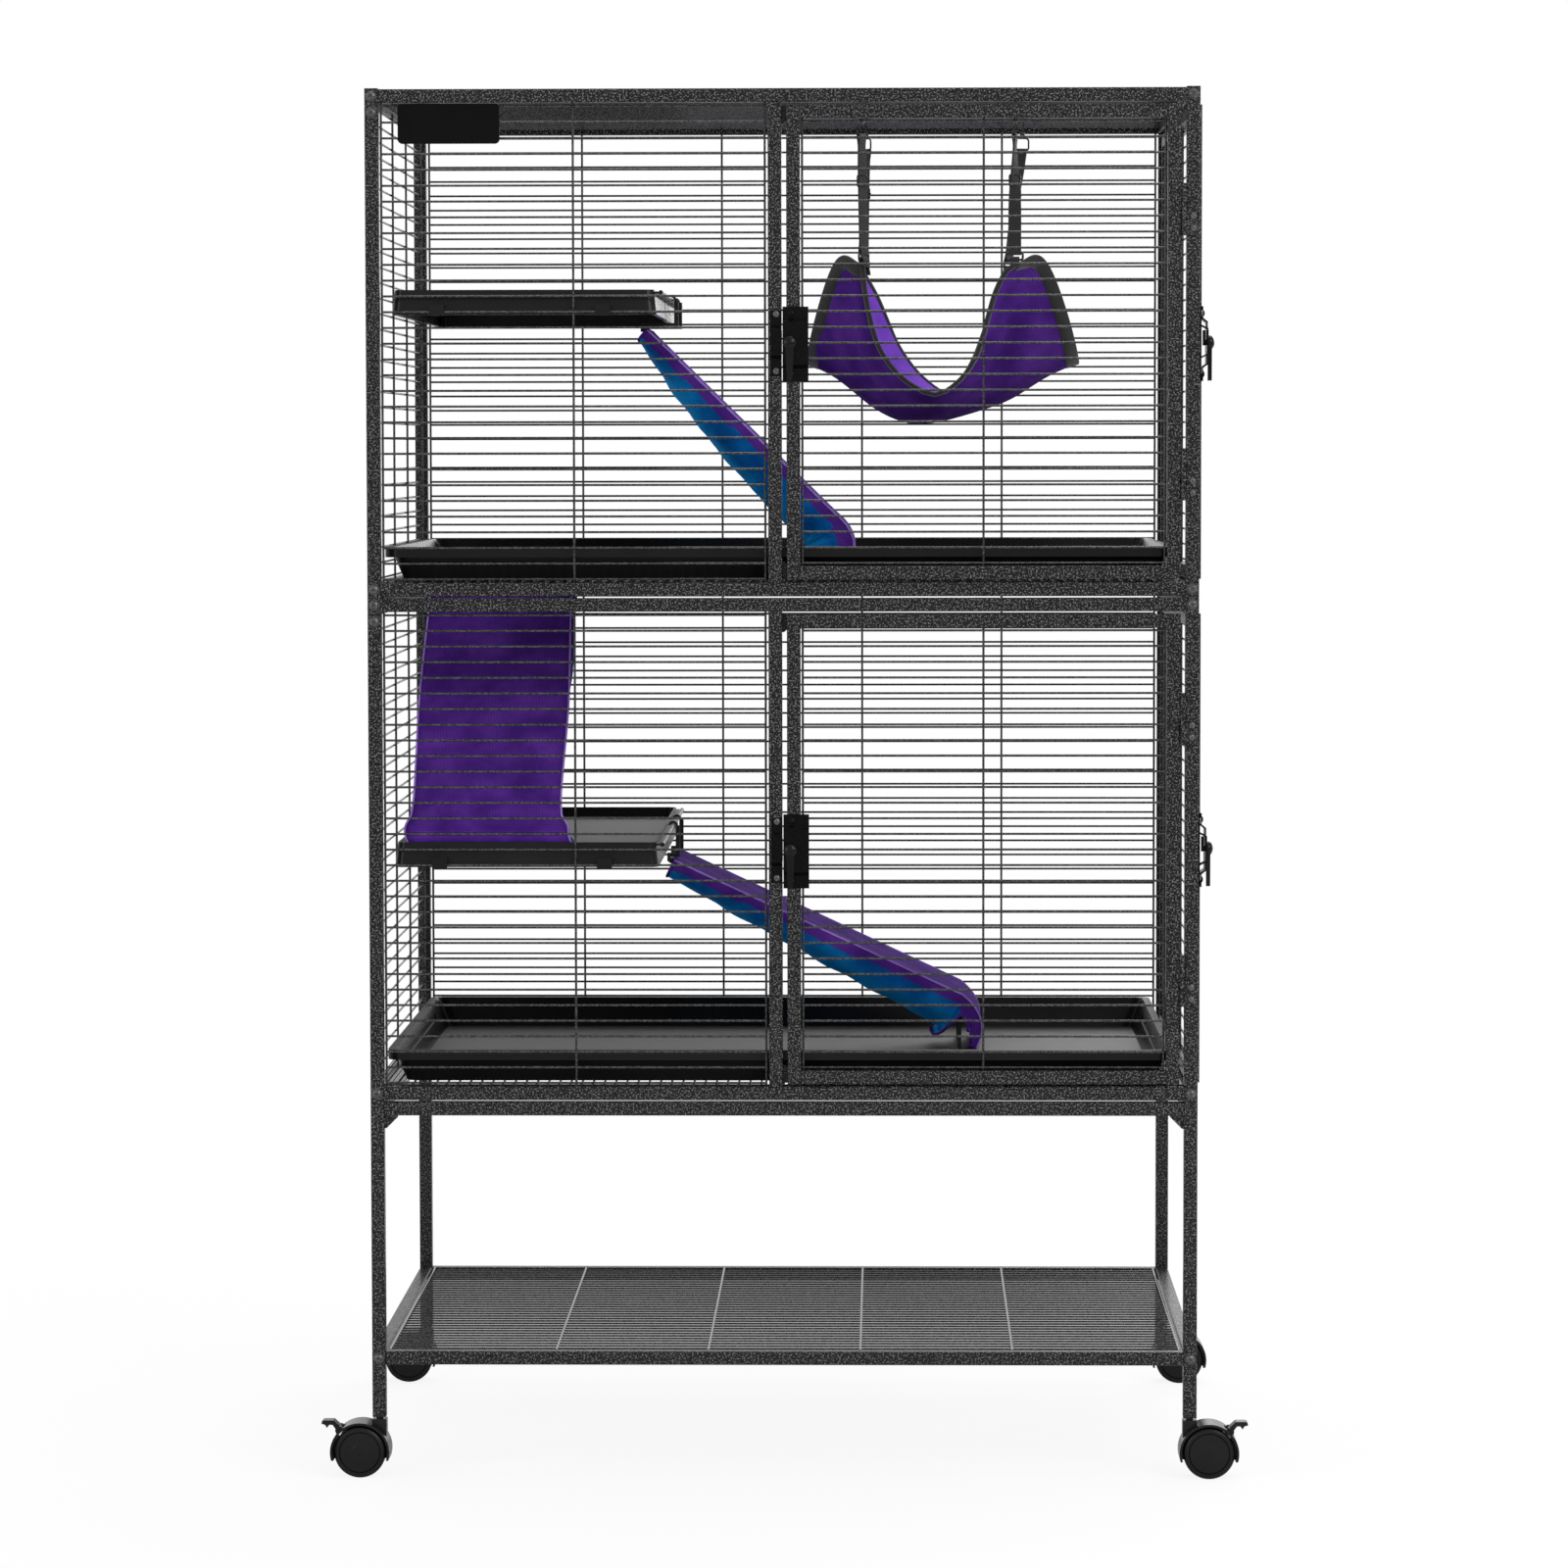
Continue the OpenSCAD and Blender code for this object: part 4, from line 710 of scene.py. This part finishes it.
def hammockPoint(s, u, v, creased=True):
    # u runs from the left ring to the right one, v from the front to the back
    c = max(0.0, 1 - v * v)
    flat = (curveAt("front", u) * ((v * v - v) / 2) + curveAt("middle", u) * (1 - v * v)
            + curveAt("back", u) * ((v * v + v) / 2))
    sideShare = abs(u) ** s["sidePower"]
    lift = 45.6 * s["cornerLift"] * c * c * (1 - c) ** 4  # 45.6 brings the curve's top to one
    x = flat.x + math.copysign(sideShare, u) * s["bulge"] * (c ** s["bulgePower"] - c)
    z = flat.y + sideShare * (lift - s["sideDrop"] * c ** s["dropPower"] + s["sideStraight"] * c)
    point = Vector((x, s["halfDepth"] * v, z))
    if creased:
        fade = min(1.0, s["edgeFade"][0] * c) * min(1.0, s["edgeFade"][1] * (1 - u * u))
        soft = s["softHeight"] * math.sin(7 * u + 2 * v) * math.cos(4 * v - u)
        rise = (s["creaseHeight"] * creaseAt(s, u, v) + soft) * fade
        point += hammockNormal(s, u, v) * rise
    return point


def hammockNormal(s, u, v):
    h = s["normalStep"]
    across = hammockPoint(s, min(1, u + h), v, False) - hammockPoint(s, max(-1, u - h), v, False)
    along = hammockPoint(s, u, min(1, v + h), False) - hammockPoint(s, u, max(-1, v - h), False)
    return across.cross(along).normalized()


def spread(count, power):
    # from -1 to 1, closer together near both ends when power is under 1
    steps = [2 * i / count - 1 for i in range(count + 1)]
    return [math.copysign(abs(t) ** power, t) for t in steps]


def addTape(s, cloth, name, fixed, at, width):
    # a strip folded over the edge: a flat tube that holds the cloth's border
    marks = spread(s["steps"], s["closeness"])
    places = [(at, t) if fixed == "u" else (t, at) for t in marks]
    centres = [hammockPoint(cloth, u, v) for u, v in places]
    half = cloth["thickness"] / 2 + s["layer"]
    outline = [(a * (width if a > 0 else s["over"]), b * half) for a, b in s["outline"]]
    rows = []
    for k, centre in enumerate(centres):
        normal = hammockNormal(cloth, *[s["normalShare"] * t for t in places[k]])
        side = normal.cross(neighbourRun(centres, k)).normalized()
        toward = hammockPoint(cloth, *[s["inwardShare"] * t for t in places[k]]) - centre
        inward = side if side.dot(toward) > 0 else -side
        rows.append([centre + inward * a + normal * b for a, b in outline])
    length = walkedLengths(centres)
    return gridPiece("hammock" + name, rows, lambda j, i: (i * s["clothStep"], length[j]),
                     finishNames=("binding",), around=True, capped=True)


def addHammock(s):
    steps = spread(s["cells"], s["closeness"])
    rows = [[hammockPoint(s, u, v) for u in steps] for v in steps]
    halfWide, halfDeep = s["cut"][0] / 2, s["cut"][1] / 2
    # the first faces take the lighter purple painted as light on the inside, the solidified side
    # takes the purple cloth
    sheet = gridPiece("hammockSheet", rows,
                      lambda j, i: (steps[i] * halfWide, steps[j] * halfDeep),
                      finishNames=("paintedLitSide", "purple"))
    thicken(sheet, s["thickness"], otherSide=1)
    return sheet


hammockSheet = addHammock(hammockSettings)
hammockTapes = [addTape(tapeSettings, hammockSettings, tapeName, *tape)
                for tapeName, tape in tapeSettings["tapes"].items()]
for piece in [hammockSheet, *hammockTapes]:
    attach(piece, "hammock")
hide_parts("hammock_cloth")
print("hammock ready")

# ---- ramp sleeves: a cloth tube round each board

sleeveSettings = {
    "upper": {"start": (-0.166, 0.07, 1.27805), "slope": 44.5, "length": 0.307, "foot": 0.065,
              "turn": 0.0, "body": "upper_ramp", "highDepth": 0.017, "lowDepth": 0.050,
              "belly": 2.3, "flare": 0.0, "mouth": 0.3},
    "lower": {"start": (-0.137, 0.07, 0.6638), "slope": 25.1, "length": 0.373, "foot": 0.065,
              "turn": 0.0, "body": "lower_ramp", "highDepth": 0.025, "lowDepth": 0.050,
              "belly": 1.15, "flare": 0.0, "mouth": 0.82},
    "middle": {"start": (-0.33, -0.024, 0.974), "slope": 45.0, "length": 0.3435, "foot": 0.037,
               "turn": -90.0, "body": "cage", "highDepth": 0.020, "lowDepth": 0.037,
               "belly": 1.6, "flare": 0.004, "mouth": 0.3,
               # how far the left and right edges stand to the right of straight ones,
               # down the ramp
               "edges": (((0.0, 0.0038), (0.5, 0.001), (0.92, 0.003), (1.3, 0.0), (2.0, 0.0064)),
                         ((0.0, -0.0048), (0.5, -0.0015), (0.92, -0.0045), (1.3, 0.0015),
                          (2.0, 0.007))),
               "swell": 0.006, "band": 0.003},
}
clothSettings = {
    "lift": 0.0019,
    "half": 0.086,
    "thickness": 0.0014,
    "stations": 64,
    "footStations": 16,
    "topSteps": 18,
    "bellySteps": 44,
    # powers that square the round outline, sideways and down
    "squareness": (0.55, 0.75),
    "topEnd": 0.005,
    # the bend, toe and heel of the foot, along and up from the end of the deck
    "bend": (0.036, -0.026),
    "toe": (0.017, 0.004),
    "heel": (-0.034, 0.016),
    # where the mouth is cut back, from the top of the sleeve to its belly
    "cutFrom": (0.16, 0.34),
    "cutTo": (0.84, 0.99),
    # stretches down the ramp, where 1 is the end of the deck and 2 that of the foot
    "flareOver": (0.9, 1.2),
    "swellOver": (0.25, 0.5),
    "bandOver": (1.0, 1.3),
    "sway": 0.0012,
    "swayWave": 5.2,
    "hangingFrom": 0.02,
    "ripple": 0.0011,
    # down the ramp, sideways and shift: two waves that make patches and a finer one
    "waves": ((26, 3.1, 0.0), (9.5, -4, 1.0), (41, 6, 0.0)),
    "fineShare": 0.7,
    "rippleRise": (2.5, 6),
    "bandWidth": 0.011,
    "bandWider": 0.5,
    "bandFit": 0.9,
    "hemFrom": 1.84,
    "hemRadius": 0.0017,
    "seamRadius": 0.0011,
}


def depthAt(r, f):
    return between(r["highDepth"], r["lowDepth"], 1 - (1 - f) ** r["belly"])


def sleeveSection(c, r, at):
    # top and belly point of one station in the plane of the slope;
    # at runs 0..1 on the deck and 1..2 down the foot
    slope = math.radians(r["slope"])
    n = Vector((math.sin(slope), 0, math.cos(slope)))
    u = Vector((math.cos(slope), 0, -math.sin(slope)))
    end = u * r["length"]
    f = min(at, 1.0)
    if at <= 1:
        top = u * between(c["topEnd"], r["length"], f) + n * c["lift"]
        return top, top - n * depthAt(r, f)
    g = at - 1
    top = end + n * c["lift"]
    low = top - n * depthAt(r, 1.0)
    bend = end + Vector((c["bend"][0], 0, c["bend"][1]))
    toe = end + Vector((c["toe"][0], 0, -r["foot"] + c["toe"][1]))
    heel = end + Vector((c["heel"][0], 0, -r["foot"] + c["heel"][1]))
    return curved(top, bend, toe, g), between(low, heel, g)


def sleeveOutline(c):
    # once round the sleeve: the place sideways and the depth, as shares of half its width
    # and of its full depth
    top, belly = c["topSteps"], c["bellySteps"]
    sidePower, depthPower = c["squareness"]
    places = [(-1 + 2 * k / top, 0.0) for k in range(top)]
    for k in range(belly):
        a = math.pi * k / belly
        side = math.copysign(abs(math.cos(a)) ** sidePower, math.cos(a))
        places.append((side, abs(math.sin(a)) ** depthPower))
    return places


def sleevePoint(c, r, at, place):
    side, depth = place
    # the sides of the mouth are cut back, so the foot shows as an open arch
    reach = at
    if at > 1:
        cut = r["mouth"] * stepBetween(*c["cutFrom"], depth) * (1 - stepBetween(*c["cutTo"], depth))
        reach = 1 + (at - 1) * (1 - cut)
    top, low = sleeveSection(c, r, reach)
    down = low - top
    hanging = depth > c["hangingFrom"]
    point = top + down.normalized() * (depth * down.length)
    half = (c["half"] + r["flare"] * stepBetween(*c["flareOver"], at)
            + c["sway"] * math.sin(c["swayWave"] * at + side) * hanging)
    point = Vector((point.x, side * half, point.z))
    if "edges" in r:
        left, right = (alongKeys(keys, at) for keys in r["edges"])
        point.y += between(left, right, (side + 1) / 2)
        point.y += (r["swell"] * max(0, side) * math.sin(math.pi * min(1, depth))
                    * (1 - stepBetween(*c["swellOver"], at)))
    if hanging:
        # shallow creases
        first, second, fine = (math.sin(a * at + b * side + shift) for a, b, shift in c["waves"])
        ripple = first * second
        ripple += c["fineShare"] * fine
        out = Vector((0, side, 0)) + down.normalized() * depth
        acrossRise, alongRise = c["rippleRise"]
        point += out.normalized() * (c["ripple"] * ripple * min(1, depth * acrossRise)
                                     * min(1, at * alongRise))
    return point


def placeRamp(r, point):
    turned = Matrix.Rotation(math.radians(r["turn"]), 4, "Z") @ point
    return turned + Vector(r["start"])


def addSleeve(name, c, r):
    places = sleeveOutline(c)
    marks = [i / c["stations"] for i in range(c["stations"] + 1)]
    marks += [1 + (i + 1) / c["footStations"] for i in range(c["footStations"])]
    rows = [[placeRamp(r, sleevePoint(c, r, at, place)) for place in places] for at in marks]
    along = [min(at, 1) * r["length"] + max(at - 1, 0) * r["foot"] for at in marks]
    middle = rows[len(rows) // 2]
    across = walkedLengths([*middle, middle[0]])
    around = across[-1]

    def finishOf(j, i):
        # purple on the deck, on a band below its edges and round the lower mouth
        depth = min(places[i][1], places[(i + 1) % len(places)][1])
        top, low = sleeveSection(c, r, marks[j])
        wider = 1 + c["bandWider"] * stepBetween(*c["bandOver"], marks[j])
        band = r.get("band", c["bandWidth"]) * wider
        isPurple = marks[j] > c["hemFrom"] or depth * (low - top).length < band * c["bandFit"]
        return 0 if isPurple else 1

    sleeve = gridPiece(name + "Sleeve", rows, lambda j, i: (across[i], along[j]),
                       finishNames=("purple", "blue"), finishOf=finishOf, around=True)
    faceOutwards(sleeve)
    thicken(sleeve, c["thickness"], -1.0)
    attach(sleeve, r["body"])
    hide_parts(name + "_ramp_cover")
    # rolled hems at both mouths and a raised seam along each edge of the top
    pieces = [cordLoop(cordSettings, name + part, loop, c["hemRadius"], "purple")
              for part, loop in (("HighHem", rows[0]), ("LowHem", rows[-1]))]
    # the seam cords carry a painted highlight in their pale colour
    pieces += [cordRun(cordSettings, name + part, [row[k] for row in rows], c["seamRadius"], "seam")
               for part, k in (("LeftSeam", 0), ("RightSeam", c["topSteps"]))]
    for piece in pieces:
        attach(piece, r["body"])
    area = sum(p.area for p in sleeve.data.polygons) / 2
    print(name, "sleeve", round(around, 4), "round,", round(area, 4), "m2")


for rampName, rampSettings in sleeveSettings.items():
    addSleeve(rampName, clothSettings, rampSettings)
print("sleeves ready")

# ---- straps: hook on the roof wire, eye, webbing with a slide buckle, and a ring for the cloth

strapSettings = {
    "topZ": 1.5245,
    "hookDrop": 0.00595,
    "barrelDrop": 0.0166,
    "eyeDrop": 0.021,
    "eyeHeight": 0.0145,
    "buckleZ": 1.4385,
    "barDepth": 0.0016,
    "ringZ": 1.35,
    "ringHeight": 0.0078,
    "width": 0.0145,
    "threads": [-1, -0.97, -0.5, 0, 0.5, 0.97, 1],  # across the webbing and the tab
    "layer": 0.0008,
    "layerGap": 0.00055,
    "eyeBend": 0.0021,
    "ringBend": 0.0023,
    "bendSteps": 8,
    "bendReach": 0.012,
    "webbingSteps": 46,
    "webbingCloth": (0.0024, 0.0028),  # metres of cloth across and along each step
}
tabSettings = {
    "width": 0.0105,
    "loop": 0.0032,
    "foot": 0.0028,
    "drop": 0.007,
    "steps": 12,
    "layer": 0.001,
    "cloth": (0.002, 0.0012),
    "pull": 0.25,
    "towardX": 0.173,
}
# ringTurn is the turn at the ring and twist what follows further up, untwist below the eye;
# lean is how far the top stands to the right
strapPlaces = {
    "FrontLeft": {"x": 0.0886, "y": -0.15525, "body": "hammock_front", "ringTurn": 54.0,
                  "twist": 8.0, "untwist": 0.040, "lean": -0.003},
    "FrontRight": {"x": 0.2582, "y": -0.15525, "body": "hammock_front", "ringTurn": 0.0,
                   "twist": 80.0, "untwist": 0.115, "lean": 0.0},
    "BackLeft": {"x": 0.0886, "y": 0.15525, "body": "hammock_back", "ringTurn": -58.0,
                 "twist": 6.0, "untwist": 0.050, "lean": 0.002},
    "BackRight": {"x": 0.2582, "y": 0.15525, "body": "hammock_back", "ringTurn": 56.0,
                  "twist": -46.0, "untwist": 0.060, "lean": 0.018},
}
# rings of round wire, drawn out to an oblong
ringSettings = {
    "Hook": {"corner": 0.0040, "wire": 0.0011, "wide": 0.0084, "high": 0.0171, "finish": "hook"},
    "Eye": {"corner": 0.0040, "wire": 0.0011, "wide": strapSettings["width"] + 0.0032,
            "high": strapSettings["eyeHeight"], "finish": "hook"},
    "Buckle": {"corner": 0.0020, "wire": 0.00135, "wide": strapSettings["width"] + 0.0026,
               "high": 0.012, "finish": "handle"},
    "Ring": {"corner": 0.0022, "wire": 0.0013, "wide": strapSettings["width"] + 0.0036,
             "high": strapSettings["ringHeight"], "finish": "hook"},
}
# shoulder and neck are shares of the height, narrow and edge of the radius
barrelSettings = {"radius": 0.0029, "high": 0.0042, "shoulder": 0.12, "neck": 0.4, "narrow": 0.72,
                  "edge": 0.18, "finish": "hook"}
barSettings = {"radius": 0.0011, "wide": strapSettings["width"] + 0.002, "finish": "handle"}


def placed(obj, place, turn):
    # put an object at its place with a turn about the upright, and keep both in its mesh
    pick(obj)
    obj.rotation_euler = (0, 0, math.radians(turn))
    obj.location = place
    bpy.ops.object.transform_apply(location=True, rotation=True, scale=True)
    return obj


def copied(obj, name, place, turn):
    twin = obj.copy()
    twin.data = obj.data.copy()
    twin.name = name
    bpy.context.scene.collection.objects.link(twin)
    return placed(twin, place, turn)


def finished(obj, name, finish):
    obj.name = name
    pick(obj)
    bpy.ops.object.shade_smooth_by_angle(angle=math.radians(35))
    paint(obj, finish)
    return obj


def selectWhere(obj, test):
    pick(obj)
    bpy.ops.object.mode_set(mode="EDIT")
    bpy.ops.mesh.select_mode(type="VERT")
    bpy.ops.mesh.select_all(action="DESELECT")
    bpy.ops.object.mode_set(mode="OBJECT")
    for vert in obj.data.vertices:
        vert.select = test(vert.co)
    bpy.ops.object.mode_set(mode="EDIT")


def stretchedRing(name, corner, wire, wide, high, finish):
    # an upright ring whose halves are moved apart, first sideways and then up and down
    bpy.ops.object.select_all(action="DESELECT")
    bpy.ops.mesh.primitive_torus_add(major_radius=corner, minor_radius=wire,
                                     major_segments=32, minor_segments=10)
    ring = bpy.context.object
    pick(ring)
    ring.rotation_euler = (math.pi / 2, 0, 0)
    bpy.ops.object.transform_apply(location=True, rotation=True, scale=True)
    for axis, reach in ((0, wide / 2 - corner), (2, high / 2 - corner)):
        for side in (-1, 1):
            selectWhere(ring, lambda co: co[axis] * side > corner * 0.01)
            move = [0, 0, 0]
            move[axis] = side * reach
            bpy.ops.transform.translate(value=move)
            bpy.ops.object.mode_set(mode="OBJECT")
    return finished(ring, name, finish)


def addBarrel(name, radius, high, shoulder, neck, narrow, edge, finish):
    # a turned swivel: the body, then a neck drawn out of its lower face
    bpy.ops.object.select_all(action="DESELECT")
    bpy.ops.mesh.primitive_cylinder_add(vertices=20, radius=radius, depth=high)
    barrel = bpy.context.object
    selectWhere(barrel, lambda co: co.z < 0)
    bpy.ops.mesh.extrude_region_move(TRANSFORM_OT_translate={"value": (0, 0, -high * shoulder)})
    bpy.ops.transform.resize(value=(narrow, narrow, 1))
    bpy.ops.mesh.extrude_region_move(TRANSFORM_OT_translate={"value": (0, 0, -high * neck)})
    bpy.ops.object.mode_set(mode="OBJECT")
    bevel = barrel.modifiers.new("edges", "BEVEL")
    bevel.width = radius * edge
    bevel.segments = 2
    applyAll(barrel)
    return finished(barrel, name, finish)


def addBar(name, radius, wide, finish):
    bpy.ops.object.select_all(action="DESELECT")
    bpy.ops.mesh.primitive_cylinder_add(vertices=12, radius=radius, depth=wide,
                                        rotation=(0, math.pi / 2, 0))
    bar = bpy.context.object
    bpy.ops.object.transform_apply(location=True, rotation=True, scale=True)
    return finished(bar, name, finish)


def addHardware():
    # one set at the origin, copied for each strap and then removed
    shapes = {part: stretchedRing(part.lower() + "Shape", **ring)
              for part, ring in ringSettings.items()}
    shapes["Barrel"] = addBarrel("barrelShape", **barrelSettings)
    shapes["BuckleBar"] = addBar("buckleBarShape", **barSettings)
    return shapes


def webbingPath(s, eyeLow, ringTop):
    # depth and height of one band that goes round the eye and the ring and lies on itself
    # between them
    path = []
    ends = ((eyeLow, ringTop, s["eyeBend"], 0), (ringTop, eyeLow, s["ringBend"], 180))
    for centre, other, bend, start in ends:
        for k in range(s["bendSteps"] + 1):
            a = math.radians(start + 180 * k / s["bendSteps"])
            path.append((bend * math.cos(a), centre + bend * math.sin(a)))
        side = math.copysign(1, -math.cos(math.radians(start)))
        for k in range(1, s["webbingSteps"]):
            z = between(centre, other, k / s["webbingSteps"])
            near = min(1.0, min(eyeLow - z, z - ringTop) / s["bendReach"])
            path.append((side * between(s["eyeBend"], s["layerGap"], near), z))
    return path


def tabPath(s, ringZ):
    # over the ring, with both ends down at the corner of the cloth
    loop, low, mid = s["loop"], ringZ - s["drop"], ringZ - s["drop"] / 2
    path = [(s["foot"], low), (loop, mid)]
    for k in range(s["steps"] + 1):
        a = math.pi * k / s["steps"]
        path.append((loop * math.cos(a), ringZ + loop * math.sin(a)))
    return path + [(-loop, mid), (-s["foot"], low)]


def addStrap(name, s, t, strap, hardware):
    x, y, body, ringTurn, twist, untwist, lean = strap.values()
    eyeTop = s["topZ"] - s["eyeDrop"]
    eyeLow = eyeTop - s["eyeHeight"]
    ringTop = s["ringZ"] + s["ringHeight"]

    def twistAt(z):
        return ringTurn + twist * stepBetween(eyeLow - untwist, eyeLow, z)

    def turned(side, z, depth=0.0, angle=None):
        a = math.radians(twistAt(z) if angle is None else angle)
        aside = x + lean * max(0.0, z - ringTop) / (s["topZ"] - ringTop)
        return Vector((aside + side * math.cos(a) - depth * math.sin(a),
                       y + side * math.sin(a) + depth * math.cos(a), z))

    # height, turn and depth of each piece
    places = {
        "Hook": (s["topZ"] - s["hookDrop"], 90.0, 0.0),
        "Barrel": (s["topZ"] - s["barrelDrop"], 0.0, 0.0),
        "Eye": ((eyeTop + eyeLow) / 2, ringTurn + twist, 0.0),
        "Buckle": (s["buckleZ"], twistAt(s["buckleZ"]), 0.0),
        "BuckleBar": (s["buckleZ"], twistAt(s["buckleZ"]), s["barDepth"]),
        "Ring": (s["ringZ"] + s["ringHeight"] / 2, ringTurn, 0.0),
    }
    pieces = [copied(hardware[part], "strap" + name + part, turned(0, z, depth, turn), turn)
              for part, (z, turn, depth) in places.items()]
    rows = [[turned(share * s["width"] / 2, z, depth) for share in s["threads"]]
            for depth, z in webbingPath(s, eyeLow, ringTop)]
    rows.append(rows[0])
    stepWide, stepLong = s["webbingCloth"]
    webbing = gridPiece("strap" + name + "Webbing", rows,
                        lambda j, i: (i * stepWide, j * stepLong), finishNames=("webbing",))
    faceOutwards(webbing, weld=True)
    thicken(webbing, s["layer"])
    for piece in pieces + [webbing]:
        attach(piece, body)
        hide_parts(body + "_straps")
    # tab of tape from the ring down onto the corner of the cloth
    facing = math.radians(ringTurn)
    inward = Vector((math.copysign(t["pull"], t["towardX"] - x) * abs(math.sin(facing)),
                     -math.copysign(t["pull"], y) * math.cos(facing), 0))
    rows = [[turned(share * t["width"] / 2, z, depth, ringTurn)
             + inward * max(0.0, s["ringZ"] - z) for share in s["threads"]]
            for depth, z in tabPath(t, s["ringZ"])]
    tabWide, tabLong = t["cloth"]
    tab = gridPiece("hammockTab" + name, rows, lambda j, i: (i * tabWide, j * tabLong),
                    finishNames=("binding",))
    thicken(tab, t["layer"])
    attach(tab, "hammock")
    return tab


hardware = addHardware()
hammockTabs = [addStrap(strapName, strapSettings, tabSettings, strapPlace, hardware)
               for strapName, strapPlace in strapPlaces.items()]
for shape in hardware.values():
    bpy.data.objects.remove(shape)
print("straps ready")
